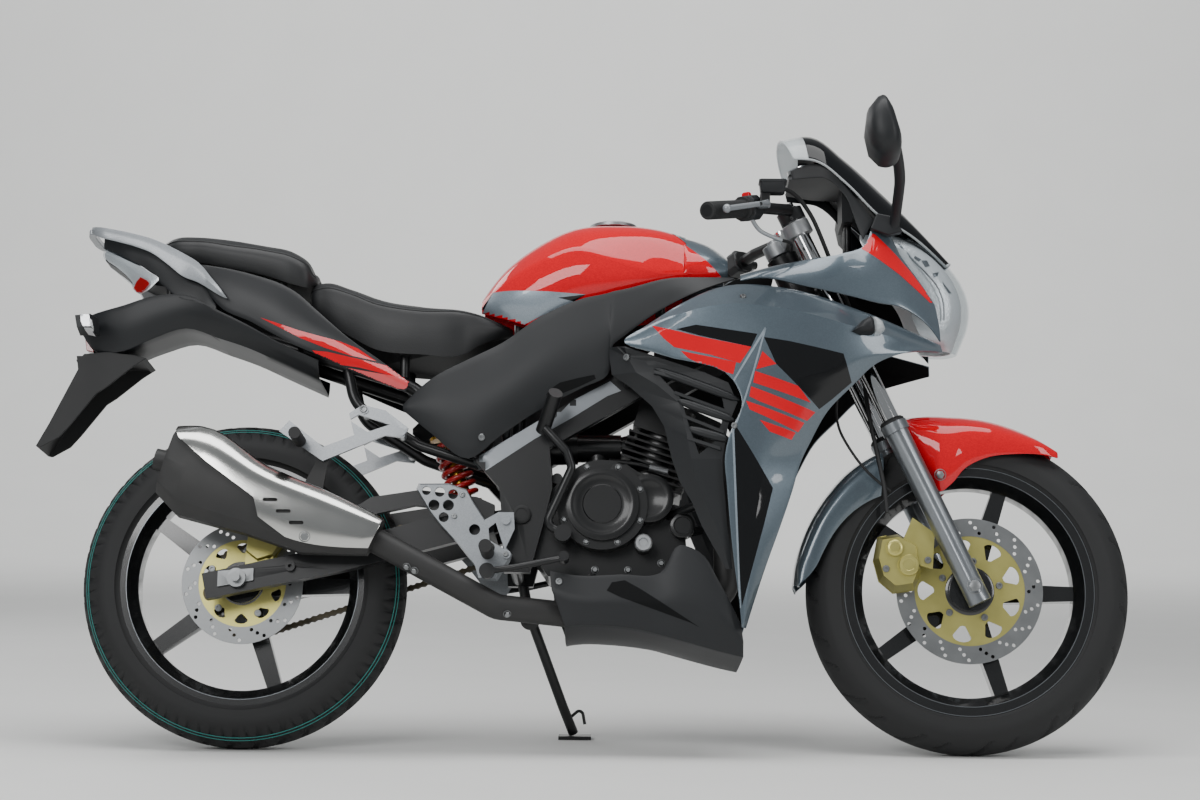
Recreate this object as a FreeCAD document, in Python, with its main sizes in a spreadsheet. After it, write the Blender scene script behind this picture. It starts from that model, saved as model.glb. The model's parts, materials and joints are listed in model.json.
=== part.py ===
import FreeCAD
import Part
import Sketcher
import math
import os
from types import SimpleNamespace

# A full-size sport bike with a half fairing, parked on its side stand.
# Every piece is drawn upright: x forward from the rear axle, y to the rider's left,
# z up from the road. At the end the whole bike is leaned over onto its stand.

os.makedirs("parts", exist_ok=True)
doc = FreeCAD.newDocument("SportBike")
Vector = FreeCAD.Vector

# Driving sizes, in millimetres and degrees: name, value, what it is
SIZES = [
    ("lean_angle", 10, "lean to the left when parked"),
    ("wheelbase", 1330, "rear axle to front axle"),
    ("rake", 25.5, "fork angle from upright"),
    ("steer_offset", 35, "steering axis behind the fork tubes"),
    ("rear_tyre_radius", 298, "rear tyre over the tread"),
    ("rear_tyre_width", 130, "rear tyre section width"),
    ("rear_crown_radius", 68, "round of the rear tread"),
    ("front_tyre_radius", 297, "front tyre over the tread"),
    ("front_tyre_width", 110, "front tyre section width"),
    ("front_crown_radius", 57, "round of the front tread"),
    ("rim_lip_radius", 231, "edge of both rims"),
    ("rim_seat_radius", 216, "bead seat of both rims"),
    ("rim_inner_radius", 194, "inside of the rim barrel"),
    ("rear_rim_width", 104, "rear rim over its lips"),
    ("front_rim_width", 92, "front rim over its lips"),
    ("rim_lip_wall", 6, "thickness of a rim lip"),
    ("spoke_count", 5, "spokes of each wheel"),
    ("spoke_width", 26, "spoke seen from the side"),
    ("spoke_depth", 34, "spoke across the wheel"),
    ("hub_radius", 38, "wheel hub"),
    ("rear_hub_width", 132, "rear hub over its disc and sprocket seats"),
    ("front_hub_width", 126, "front hub over its disc seat"),
    ("axle_radius", 8, "both axles"),
    ("axle_play", 0.5, "running room of a hub on its axle"),
    ("bead_play", 0.3, "tyre over its bead seat"),
    ("front_disc_radius", 133, "front brake disc"),
    ("rear_disc_radius", 110, "rear brake disc"),
    ("disc_band", 35, "braking band, outside to inside"),
    ("disc_wall", 4.5, "thickness of a brake disc"),
    ("disc_hole_radius", 3.5, "drilled holes of the discs"),
    ("disc_hole_count", 14, "holes in one ring of a disc"),
    ("chain_pitch", 12.7, "roller to roller"),
    ("rear_teeth", 42, "teeth of the rear sprocket"),
    ("front_teeth", 14, "teeth of the engine sprocket"),
    ("chain_line", 80, "chain from the middle plane"),
    ("chain_height", 11, "height of a link plate"),
    ("fork_spread", 98, "fork tube from the middle plane"),
    ("stanchion_radius", 16.5, "chromed fork tube"),
    ("slider_radius", 21.5, "fork slider"),
    ("slider_length", 333, "axle to the top of the slider"),
    ("fork_length", 778, "axle to the top of the fork tube"),
    ("lower_clamp", 520, "axle to the lower fork clamp"),
    ("upper_clamp", 722, "axle to the upper fork clamp"),
    ("grip_radius", 16.5, "handlebar grip"),
    ("grip_length", 118, "handlebar grip"),
    ("bar_radius", 11, "handlebar tube"),
    ("pivot_x", 511, "swingarm pivot ahead of the rear axle"),
    ("pivot_z", 424, "swingarm pivot above the road"),
    ("arm_spread", 112, "swingarm tube from the middle plane"),
    ("panel_wall", 3, "moulded panels"),
    ("tank_width", 300, "tank at its widest"),
    ("seat_width", 250, "rider's seat at its widest"),
    ("exhaust_radius", 23, "exhaust pipe"),
    ("cylinder_fin_count", 8, "cooling fins of the cylinder"),
    ("fin_pitch", 12, "fin to fin"),
    ("stand_radius", 9.5, "side stand leg"),
    ("stand_pivot_x", 522, "side stand pivot ahead of the rear axle"),
    ("stand_pivot_z", 262, "side stand pivot above the road"),
    ("stand_pivot_y", 132, "side stand pivot from the middle plane"),
    ("stand_foot_x", 604, "side stand foot ahead of the rear axle"),
    ("stand_foot_y", 232, "side stand foot from the middle plane"),
]

sheet = doc.addObject("Spreadsheet::Sheet", "Sizes")
for line, (alias, value, note) in enumerate(SIZES, start=1):
    sheet.set("A%d" % line, note)
    sheet.set("B%d" % line, str(value))
    sheet.setAlias("B%d" % line, alias)
doc.recompute()
d = SimpleNamespace(**{alias: float(sheet.get(alias)) for alias, value, note in SIZES})

lean = math.radians(d.lean_angle)
rake = math.radians(d.rake)


# The axle height at which a leaned tyre's round tread just meets the road
def axleHeight(tyreRadius, crownRadius):
    return tyreRadius - crownRadius + crownRadius / math.cos(lean)


rearAxle = Vector(0, 0, axleHeight(d.rear_tyre_radius, d.rear_crown_radius))
frontAxle = Vector(d.wheelbase, 0, axleHeight(d.front_tyre_radius, d.front_crown_radius))
forkUp = Vector(-math.sin(rake), 0, math.cos(rake))
forkAhead = Vector(math.cos(rake), 0, math.sin(rake))
pivot = Vector(d.pivot_x, 0, d.pivot_z)
steerPoint = frontAxle + forkUp * d.upper_clamp - forkAhead * d.steer_offset

pieces = {}


# Shape helpers

def mirrored(shape):
    return shape.mirror(Vector(0, 0, 0), Vector(0, 1, 0))


def bothSides(shape):
    return Part.makeCompound([shape, mirrored(shape)])


def rod(start, end, radius):
    return Part.makeCylinder(radius, (end - start).Length, start, end - start)


def pipe(start, end, outer, inner):
    return rod(start, end, outer).cut(rod(start, end, inner))


# A flat plate: its outline in side view, between two distances from the middle plane
def plate(outline, near, far):
    points = [Vector(x, near, z) for x, z in outline]
    face = Part.Face(Part.makePolygon(points + points[:1]))
    return face.extrude(Vector(0, far - near, 0))


# A plate whose far face is drawn in by a bevel towards its middle
def bevelledPlate(outline, near, far, share):
    middleX = sum(x for x, z in outline) / len(outline)
    middleZ = sum(z for x, z in outline) / len(outline)
    base = [Vector(x, near, z) for x, z in outline]
    top = [Vector(middleX + (x - middleX) * share, far, middleZ + (z - middleZ) * share)
           for x, z in outline]
    wires = [Part.makePolygon(ring + ring[:1]) for ring in (base, top)]
    return Part.makeLoft(wires, True, True)


# A solid through rings of points, one flat strip between each pair of corners
def hull(rings):
    wires = [Part.makePolygon([Vector(*p) for p in ring] + [Vector(*ring[0])]) for ring in rings]
    return Part.makeLoft(wires, True, True)


# A closed solid over a grid of point rings: flat faces, or two triangles where four corners twist
def gridSolid(rings):
    faces = []

    def patch(a, b, c, e):
        if abs((b - a).cross(c - a).dot(e - a)) < 1e-6:
            faces.append(Part.Face(Part.makePolygon([a, b, c, e, a])))
        else:
            faces.append(Part.Face(Part.makePolygon([a, b, c, a])))
            faces.append(Part.Face(Part.makePolygon([a, c, e, a])))

    count = len(rings[0])
    for ring, following in zip(rings, rings[1:]):
        for j in range(count):
            k = (j + 1) % count
            patch(ring[j], ring[k], following[k], following[j])
    for ring in (rings[0], rings[-1]):
        for j in range(count // 2 - 1):
            patch(ring[j], ring[j + 1], ring[count - 2 - j], ring[count - 1 - j])
    shell = Part.makeShell(faces)
    shell.sewShape()
    solid = Part.makeSolid(shell)
    if solid.Volume < 0:
        solid.reverse()
    return solid


# A moulded panel: rows of points on its outer face, thickened towards the middle plane
def panel(rows, wall, inside):
    grid = [[Vector(*p) for p in row] for row in rows]
    last = len(grid) - 1
    inner = []
    for i, row in enumerate(grid):
        ring = []
        for j, point in enumerate(row):
            along = grid[min(i + 1, last)][j] - grid[max(i - 1, 0)][j]
            across = row[min(j + 1, len(row) - 1)] - row[max(j - 1, 0)]
            normal = along.cross(across)
            normal.normalize()
            if normal.dot(inside - point) < 0:
                normal = normal * -1
            ring.append(point + normal * wall)
        inner.append(ring)
    return gridSolid([row + back[::-1] for row, back in zip(grid, inner)])


def largest(shape):
    return max(shape.Solids, key=lambda solid: solid.Volume)


# A bar of round section along straight runs joined by tangent arcs
def bentBar(points, radius, bend):
    points = [Vector(*p) for p in points]
    edges = []
    start = points[0]
    for before, corner, after in zip(points, points[1:], points[2:]):
        back = (before - corner).normalize()
        ahead = (after - corner).normalize()
        half = (math.pi - back.getAngle(ahead)) / 2
        reach = bend * math.tan(half)
        first = corner + back * reach
        second = corner + ahead * reach
        inward = (back + ahead).normalize()
        centre = corner + inward * (bend / math.cos(half))
        edges.append(Part.LineSegment(start, first).toShape())
        edges.append(Part.Arc(first, centre - inward * bend, second).toShape())
        start = second
    edges.append(Part.LineSegment(start, points[-1]).toShape())
    path = Part.Wire(edges)
    profile = Part.Wire(Part.makeCircle(radius, points[0], points[1] - points[0]))
    return path.makePipeShell([profile], True, True)


def keep(name, shape):
    piece = doc.addObject("Part::Feature", name)
    piece.Label = name
    piece.Shape = shape
    pieces[name] = (piece, shape.Placement)
    return piece


# Wheels and discs as bodies: profiles in the plane of x and y are turned about y

def originPlane(body, role):
    return next(item for item in body.Origin.OriginFeatures if item.Role == role)


def newSketch(body, name, role):
    sketch = body.newObject("Sketcher::SketchObject", name)
    sketch.AttachmentSupport = [(originPlane(body, role), "")]
    sketch.MapMode = "FlatFace"
    return sketch


# A length made of sheet sizes: its expression and its present value
def tied(*terms):
    expression = " + ".join("Sizes.%s * %s" % (alias, share) for alias, share in terms)
    return expression, sum(getattr(d, alias) * share for alias, share in terms)


# A closed outline whose corners are each tied to the sheet
def tiedOutline(sketch, corners):
    points = [Vector(across[1], up[1], 0) for across, up in corners]
    for index, point in enumerate(points):
        sketch.addGeometry(Part.LineSegment(point, points[(index + 1) % len(points)]))
    for index in range(len(points)):
        following = (index + 1) % len(points)
        sketch.addConstraint(Sketcher.Constraint("Coincident", index, 2, following, 1))
    for index, corner in enumerate(corners):
        for kind, (expression, value) in zip(("DistanceX", "DistanceY"), corner):
            number = sketch.addConstraint(Sketcher.Constraint(kind, -1, 1, index, 1, value))
            sketch.setExpression("Constraints[%d]" % number, expression)


# A circle about a point on the first axis, its radius and place tied to the sheet
def tiedCircle(sketch, away, radius):
    index = sketch.addGeometry(Part.Circle(Vector(away[1], 0, 0), Vector(0, 0, 1), radius[1]))
    sketch.addConstraint(Sketcher.Constraint("PointOnObject", index, 3, -1))
    for kind, (expression, value) in (("DistanceX", away), ("Radius", radius)):
        if kind == "Radius":
            number = sketch.addConstraint(Sketcher.Constraint(kind, index, value))
        else:
            number = sketch.addConstraint(Sketcher.Constraint(kind, -1, 1, index, 3, value))
        sketch.setExpression("Constraints[%d]" % number, expression)


def turned(body, sketch, kind="PartDesign::Revolution"):
    feature = body.newObject(kind, body.Name + kind[12:])
    feature.Profile = sketch
    feature.ReferenceAxis = (sketch, ["V_Axis"])
    feature.Angle = 360
    return feature


def repeated(body, feature, countAlias):
    pattern = body.newObject("PartDesign::PolarPattern", feature.Name + "Ring")
    pattern.Originals = [feature]
    pattern.Axis = (originPlane(body, "Y_Axis"), [""])
    pattern.Angle = 360
    pattern.setExpression("Occurrences", "Sizes." + countAlias)
    body.Tip = pattern
    return pattern


def newBody(name, at):
    body = doc.addObject("PartDesign::Body", name)
    body.Label = name
    pieces[name] = (body, FreeCAD.Placement(at, FreeCAD.Rotation()))
    return body


# Rim: a barrel with two lips, a hub bored for the axle and straight spokes between them
def makeRim(name, at, widthAlias, hubAlias):
    body = newBody(name, at)
    barrel = newSketch(body, name + "Barrel", "XY_Plane")
    lip = tied(("rim_lip_radius", 1))
    seat = tied(("rim_seat_radius", 1))
    inner = tied(("rim_inner_radius", 1))
    step = tied(("rim_lip_radius", 0.5), ("rim_inner_radius", 0.5))
    outside = (widthAlias, 0.5)
    inside = (widthAlias, -0.5)
    tiedOutline(barrel, [
        (lip, tied(outside)), (lip, tied(outside, ("rim_lip_wall", -1))),
        (seat, tied(outside, ("rim_lip_wall", -1))),
        (seat, tied(inside, ("rim_lip_wall", 1))),
        (lip, tied(inside, ("rim_lip_wall", 1))), (lip, tied(inside)),
        (step, tied(inside)), (inner, tied((widthAlias, -0.22))),
        (inner, tied((widthAlias, 0.22))), (step, tied(outside))])
    turned(body, barrel)
    hub = newSketch(body, name + "Hub", "XY_Plane")
    bore = tied(("axle_radius", 1), ("axle_play", 1))
    hubRadius = tied(("hub_radius", 1))
    tiedOutline(hub, [
        (bore, tied((hubAlias, -0.5))), (bore, tied((hubAlias, 0.5))),
        (hubRadius, tied((hubAlias, 0.5))), (hubRadius, tied((hubAlias, -0.5)))])
    turned(body, hub)
    doc.recompute()
    spokes = newSketch(body, name + "SpokeOutline", "XZ_Plane")
    root = tied(("hub_radius", 0.9))
    tip = tied(("rim_inner_radius", 0.5), ("rim_seat_radius", 0.5))
    tiedOutline(spokes, [
        (root, tied(("spoke_width", -0.72))), (tip, tied(("spoke_width", -0.5))),
        (tip, tied(("spoke_width", 0.5))), (root, tied(("spoke_width", 0.72)))])
    spoke = body.newObject("PartDesign::Pad", name + "Spoke")
    spoke.Profile = spokes
    spoke.Midplane = True
    spoke.setExpression("Length", "Sizes.spoke_depth")
    doc.recompute()
    repeated(body, spoke, "spoke_count")
    return body


makeRim("rear_rim", rearAxle, "rear_rim_width", "rear_hub_width")
makeRim("front_rim", frontAxle, "front_rim_width", "front_hub_width")


# Tyre: bead, bulging sidewalls and a round tread, turned about the axle
def makeTyre(name, at, radius, width, crown, rimWidth):
    bore = d.rim_seat_radius + d.bead_play
    bead = rimWidth / 2 - d.rim_lip_wall - d.bead_play
    lip = d.rim_lip_radius + 4
    shoulderHalf = width * 0.46
    shoulder = radius - crown + math.sqrt(crown ** 2 - shoulderHalf ** 2)
    bulge = (lip + shoulder) / 2
    corners = [Vector(bore, -bead, 0), Vector(bore, bead, 0), Vector(lip, bead, 0)]
    outer = Part.Arc(corners[2], Vector(bulge, width / 2, 0), Vector(shoulder, shoulderHalf, 0))
    tread = Part.Arc(Vector(shoulder, shoulderHalf, 0), Vector(radius, 0, 0),
                     Vector(shoulder, -shoulderHalf, 0))
    other = Part.Arc(Vector(shoulder, -shoulderHalf, 0), Vector(bulge, -width / 2, 0),
                     Vector(lip, -bead, 0))
    edges = [Part.LineSegment(corners[0], corners[1]), Part.LineSegment(corners[1], corners[2]),
             outer, tread, other, Part.LineSegment(Vector(lip, -bead, 0), corners[0])]
    face = Part.Face(Part.Wire([edge.toShape() for edge in edges]))
    ring = face.revolve(Vector(0, 0, 0), Vector(0, 1, 0), 360)
    ring.translate(at)
    return keep(name, ring)


makeTyre("rear_tyre", rearAxle, d.rear_tyre_radius, d.rear_tyre_width,
         d.rear_crown_radius, d.rear_rim_width)
makeTyre("front_tyre", frontAxle, d.front_tyre_radius, d.front_tyre_width,
         d.front_crown_radius, d.front_rim_width)


# Brake disc: a carrier bolted on the hub face and a drilled braking band
def makeDisc(name, hub, radiusAlias, hubAlias):
    offset = -(getattr(d, hubAlias) + d.disc_wall) / 2
    body = newBody(name, hub + Vector(0, offset, 0))
    ring = newSketch(body, name + "Ring", "XY_Plane")
    bore = tied(("axle_radius", 1), ("axle_play", 8))
    edge = tied((radiusAlias, 1))
    near = tied(("disc_wall", -0.5))
    far = tied(("disc_wall", 0.5))
    tiedOutline(ring, [(bore, near), (bore, far), (edge, far), (edge, near)])
    turned(body, ring)
    doc.recompute()
    slot = newSketch(body, name + "SlotOutline", "XZ_Plane")
    inner = tied(("hub_radius", 1), ("disc_band", 0.15))
    outer = tied((radiusAlias, 1), ("disc_band", -1.2))
    tiedOutline(slot, [
        (inner, tied(("disc_band", -0.18))), (outer, tied(("disc_band", -0.42))),
        (outer, tied(("disc_band", 0.3))), (inner, tied(("disc_band", 0.12)))])
    cutAll(body, slot, name + "Slot", "spoke_count")
    for ringName, share in (("Outer", -0.25), ("Inner", -0.7)):
        hole = newSketch(body, name + ringName + "HoleOutline", "XZ_Plane")
        away = tied((radiusAlias, 1), ("disc_band", share))
        tiedCircle(hole, away, tied(("disc_hole_radius", 1)))
        cutAll(body, hole, name + ringName + "Hole", "disc_hole_count")
    return body


# A cut right through a disc, repeated round its axle
def cutAll(body, sketch, name, countAlias):
    before = body.Shape.Volume
    pocket = body.newObject("PartDesign::Pocket", name)
    pocket.Profile = sketch
    pocket.Midplane = True
    pocket.setExpression("Length", "Sizes.disc_wall * 4")
    doc.recompute()
    repeated(body, pocket, countAlias)
    doc.recompute()
    if body.Shape.Volume >= before:
        raise RuntimeError(name + " cut nothing")


makeDisc("rear_disc", rearAxle, "rear_disc_radius", "rear_hub_width")
makeDisc("front_disc", frontAxle, "front_disc_radius", "front_hub_width")


# Final drive: a toothed sprocket, the chain round it and the engine sprocket's circle

def pitchRadius(teeth):
    return d.chain_pitch / (2 * math.sin(math.pi / teeth))


rearPitch = pitchRadius(d.rear_teeth)
frontPitch = pitchRadius(d.front_teeth)
engineSprocket = pivot + Vector(78, 0, 12)


# Points along the chain's closed path, each with its outward direction
def chainPath(step):
    across = engineSprocket - rearAxle
    span = across.Length
    slope = math.atan2(across.z, across.x)
    taper = math.asin((rearPitch - frontPitch) / span)
    straight = span * math.cos(taper)
    rearArc = rearPitch * (math.pi + 2 * taper)
    frontArc = frontPitch * (math.pi - 2 * taper)
    total = 2 * straight + rearArc + frontArc
    count = 2 * round(total / step / 2)
    stations = []
    for index in range(count):
        run = total * index / count
        if run < rearArc:
            angle = slope + math.pi / 2 - taper + run / rearPitch
            outward = Vector(math.cos(angle), 0, math.sin(angle))
            stations.append((rearAxle + outward * rearPitch, outward))
            continue
        run -= rearArc
        if run < straight:
            angle = slope - math.pi / 2 + taper
            outward = Vector(math.cos(angle), 0, math.sin(angle))
            start = rearAxle + outward * rearPitch
            end = engineSprocket + outward * frontPitch
            stations.append((start + (end - start) * (run / straight), outward))
            continue
        run -= straight
        if run < frontArc:
            angle = slope - math.pi / 2 + taper + run / frontPitch
            outward = Vector(math.cos(angle), 0, math.sin(angle))
            stations.append((engineSprocket + outward * frontPitch, outward))
            continue
        run -= frontArc
        angle = slope + math.pi / 2 - taper
        outward = Vector(math.cos(angle), 0, math.sin(angle))
        start = engineSprocket + outward * frontPitch
        end = rearAxle + outward * rearPitch
        stations.append((start + (end - start) * (run / straight), outward))
    return stations


# Link plates are widest at each roller and waisted between, so both edges are scalloped
def makeChain():
    stations = chainPath(d.chain_pitch / 2)
    half = d.chain_height / 2
    waist = half * 0.7

    def band(near, far, wide, narrow):
        loops = []
        for side in (1, -1):
            points = []
            for index, (point, outward) in enumerate(stations):
                reach = wide if index % 2 == 0 else narrow
                points.append(point + outward * side * reach + Vector(0, near, 0))
            loops.append(Part.makePolygon(points + points[:1]))
        face = Part.Face(loops[0]).cut(Part.Face(loops[1]))
        return face.extrude(Vector(0, far - near, 0))

    plateWall = 2.2
    rollers = band(d.chain_line - 4, d.chain_line + 4, half * 0.75, half * 0.45)
    inner = band(d.chain_line - 4 - plateWall, d.chain_line - 4, half, waist)
    outer = band(d.chain_line + 4, d.chain_line + 4 + plateWall, half, waist)
    return keep("drive_chain", rollers.fuse([inner, outer]))


def makeSprocket():
    clearance = 2.5
    tip = rearPitch - d.chain_height / 2 - clearance
    root = tip - 5
    seat = d.rear_hub_width / 2
    teeth = int(d.rear_teeth)
    outline = []
    for tooth in range(teeth):
        for share, radius in ((-0.2, tip), (0.2, tip), (0.35, root), (0.65, root)):
            angle = 2 * math.pi * (tooth + share) / teeth
            outline.append((radius * math.cos(angle), rearAxle.z + radius * math.sin(angle)))
    blank = plate(outline, seat, seat + 6)
    bore = rod(rearAxle + Vector(0, seat - 1, 0), rearAxle + Vector(0, seat + 7, 0),
               d.axle_radius + d.axle_play)
    toothed = blank.cut(bore)
    rim = plate(outline, d.chain_line - 3, d.chain_line + 3)
    rim = rim.cut(rod(rearAxle + Vector(0, d.chain_line - 4, 0),
                      rearAxle + Vector(0, d.chain_line + 4, 0), root - 14))
    carrier = pipe(rearAxle + Vector(0, seat, 0), rearAxle + Vector(0, d.chain_line + 3, 0),
                   root - 8, root - 16)
    return keep("rear_sprocket", toothed.fuse([rim, carrier]))


makeChain()
makeSprocket()


# Front fork

def forkPoint(run, side=0, ahead=0):
    return frontAxle + forkUp * run + forkAhead * ahead + Vector(0, side, 0)


def makeFork():
    tube = rod(forkPoint(d.slider_length - 40, d.fork_spread), forkPoint(d.fork_length, d.fork_spread),
               d.stanchion_radius)
    cap = rod(forkPoint(d.fork_length, d.fork_spread), forkPoint(d.fork_length + 8, d.fork_spread),
              d.stanchion_radius - 3)
    keep("fork_tubes", bothSides(tube.fuse(cap)))
    slider = rod(forkPoint(-30, d.fork_spread), forkPoint(d.slider_length, d.fork_spread),
                 d.slider_radius)
    collar = rod(forkPoint(d.slider_length - 18, d.fork_spread),
                 forkPoint(d.slider_length, d.fork_spread), d.slider_radius + 4)
    bracket = plate([(-12, 100), (14, 100), (14, 150), (-12, 150)], 0, 12)
    socket = rod(forkPoint(d.slider_length - 40, d.fork_spread),
                 forkPoint(d.slider_length + 1, d.fork_spread), d.stanchion_radius)
    leg = slider.fuse(collar).cut(socket)
    spindle = rod(frontAxle + Vector(0, -d.fork_spread - 28, 0),
                  frontAxle + Vector(0, d.fork_spread + 28, 0), d.axle_radius)
    spacers = [pipe(frontAxle + Vector(0, d.front_hub_width / 2 + d.disc_wall + 1, 0),
                    frontAxle + Vector(0, d.fork_spread - d.slider_radius + 4, 0),
                    d.axle_radius + 7, d.axle_radius - 1)]
    spacers.append(mirrored(spacers[0]))
    legs = [leg, mirrored(leg)]
    keep("fork_sliders", spindle.fuse(legs + spacers))
    clamps = []
    for run, thickness, depth in ((d.lower_clamp, 34, 46), (d.upper_clamp, 26, 40)):
        bridge = Part.makeBox(depth, 2 * d.fork_spread, thickness)
        bridge.translate(Vector(-depth / 2 - 8, -d.fork_spread, 0))
        ends = [Part.makeCylinder(d.stanchion_radius + 9, thickness, Vector(0, side, 0))
                for side in (-d.fork_spread, d.fork_spread)]
        boss = Part.makeCylinder(26, thickness, Vector(-d.steer_offset, 0, 0))
        block = bridge.fuse(ends + [boss])
        bores = [Part.makeCylinder(d.stanchion_radius, thickness, Vector(0, side, 0))
                 for side in (-d.fork_spread, d.fork_spread)]
        block = block.cut(Part.makeCompound(bores))
        block.rotate(Vector(0, 0, 0), Vector(0, 1, 0), -d.rake)
        block.translate(forkPoint(run))
        clamps.append(block)
    stem = rod(forkPoint(d.lower_clamp, 0, -d.steer_offset),
               forkPoint(d.upper_clamp + 34, 0, -d.steer_offset), 13)
    keep("fork_clamps", stem.fuse(clamps))


makeFork()

# Handlebars: from a clamp on each fork tube, out and back to the grip
barInner = Vector(912, 226, 968)
barOuter = Vector(838, 332, 936)
barAlong = (barOuter - barInner).normalize()


def makeHandlebars():
    root = forkPoint(d.fork_length - 15, d.fork_spread)
    ring = pipe(forkPoint(d.fork_length - 27, d.fork_spread), forkPoint(d.fork_length - 4, d.fork_spread),
                d.stanchion_radius + 8, d.stanchion_radius)
    rise = Vector(root.x - 6, root.y + 26, root.z + 6)
    start = Vector(barInner.x + 34, barInner.y - 48, barInner.z + 14)
    bar = bentBar([rise, start, barInner, barOuter], d.bar_radius, 26)
    grip = rod(barOuter - barAlong * d.grip_length, barOuter, d.grip_radius)
    flange = rod(barOuter - barAlong * (d.grip_length + 6), barOuter - barAlong * d.grip_length,
                 d.grip_radius + 5)
    hollow = rod(barInner, barOuter, d.bar_radius)
    keep("grips", bothSides(grip.fuse(flange).cut(hollow)))
    pod = rod(barOuter - barAlong * (d.grip_length + 44), barOuter - barAlong * (d.grip_length + 6.3), 20)
    block = barOuter - barAlong * (d.grip_length + 25)
    reach = Vector(34, 22, 4)
    neck = rod(block + Vector(6, 4, 2), block + reach, 8)
    leverStart = block + reach
    leverEnd = leverStart + Vector(-78, 92, -34)
    lever = bentBar([leverStart, leverStart + Vector(-18, 34, -10), leverEnd], 5, 20)
    ball = Part.makeSphere(8, leverEnd)
    keep("handlebars", bothSides(ring.fuse([bar, pod, neck, lever, ball])))


makeHandlebars()


# Front mudguard: a red guard over the tyre and a grey flap behind it
def makeFrontMudguard():
    stations = [(1206, 622, 60, 604), (1250, 628, 64, 570), (1300, 627, 65, 545),
                (1358, 622, 65, 545), (1415, 607, 63, 552), (1465, 584, 58, 550), (1496, 562, 46, 546)]
    rows = []
    for x, top, half, low in stations:
        drop = min(26, (top - low) / 2)
        left = [(x, half + 3, low), (x, half + 2, top - drop), (x, half * 0.55, top - drop / 5)]
        rows.append(left + [(x, 0, top)] + [(px, -py, pz) for px, py, pz in left[::-1]])
    guard = panel(rows, d.panel_wall, frontAxle)
    ear = [(1206, 604), (1250, 575), (1300, 548), (1322, 520), (1290, 480), (1274, 472), (1262, 505),
           (1232, 548)]
    side = bevelledPlate(ear, 62, 71, 0.94)
    stay = rod(Vector(1258, 66, 540), Vector(1222, 84, 532), 7)
    whole = guard.fuse([side, mirrored(side), stay, mirrored(stay)])
    keep("front_mudguard", largest(whole.cut(pieces["fork_sliders"][0].Shape)))
    flap = []
    rear = [(1166, 556, 1168, 470), (1138, 540, 1142, 458), (1108, 517, 1112, 436),
            (1074, 478, 1084, 404), (1046, 434, 1062, 366), (1026, 388, 1048, 338),
            (1013, 340, 1030, 316), (1010, 308, 1014, 304)]
    for x, z, insideX, insideZ in rear:
        flap.append([(insideX, 65, insideZ), (x + 5, 61, z - 6), (x, 32, z), (x, -32, z),
                     (x + 5, -61, z - 6), (insideX, -65, insideZ)])
    clip = rod(Vector(1150, 62, 520), Vector(1232, 86, 508), 5)
    body = panel(flap, d.panel_wall, frontAxle).fuse([clip, mirrored(clip)])
    keep("mudguard_flap", largest(body.cut(pieces["fork_sliders"][0].Shape)))


makeFrontMudguard()


def makeFrontCaliper():
    outline = [(1160, 392), (1196, 398), (1232, 380), (1240, 330), (1226, 296), (1188, 290),
               (1162, 312), (1152, 350)]
    far = -d.front_hub_width / 2 - d.disc_wall - 5
    outer = bevelledPlate(outline, far, far - 34, 0.82)
    inner = bevelledPlate(outline, far + 10 + d.disc_wall, far + 22 + d.disc_wall, 0.86)
    bridge = plate([(1152, 350), (1160, 392), (1176, 396), (1168, 350)], far, far + 10 + d.disc_wall)
    arm = plate([(1204, 384), (1222, 426), (1262, 398), (1258, 332), (1236, 338)], far - 14, far - 22)
    keep("front_caliper", largest(outer.fuse([inner, bridge, arm]).cut(pieces["fork_sliders"][0].Shape)))


makeFrontCaliper()

# Brake hose: from the lever down the fork to the caliper
HOSE = [(948, -216, 1000), (984, -192, 1018), (1014, -156, 1006), (1040, -124, 978), (1062, -98, 935),
        (1086, -76, 880), (1114, -62, 820), (1128, -62, 760), (1136, -66, 700), (1142, -74, 640),
        (1150, -88, 585), (1160, -104, 530), (1169, -118, 478), (1173, -124, 430)]


# A held cable: every bend takes as large an arc as its two runs allow
def cable(points, radius):
    points = [Vector(*p) for p in points]
    edges = []
    start = points[0]
    for before, corner, after in zip(points, points[1:], points[2:]):
        back = before - corner
        ahead = after - corner
        reach = 0.45 * min(back.Length, ahead.Length)
        half = (math.pi - back.getAngle(ahead)) / 2
        bend = reach / math.tan(half)
        print("cable arc radius %.0f" % bend)
        first = corner + back.normalize() * reach
        second = corner + ahead.normalize() * reach
        inward = (back + ahead).normalize()
        middle = corner + inward * (bend / math.cos(half) - bend)
        edges.append(Part.LineSegment(start, first).toShape())
        edges.append(Part.Arc(first, middle, second).toShape())
        start = second
    edges.append(Part.LineSegment(start, points[-1]).toShape())
    profile = Part.Wire(Part.makeCircle(radius, points[0], points[1] - points[0]))
    return Part.Wire(edges).makePipeShell([profile], True, True)


keep("brake_hose", cable(HOSE, 4))


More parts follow.
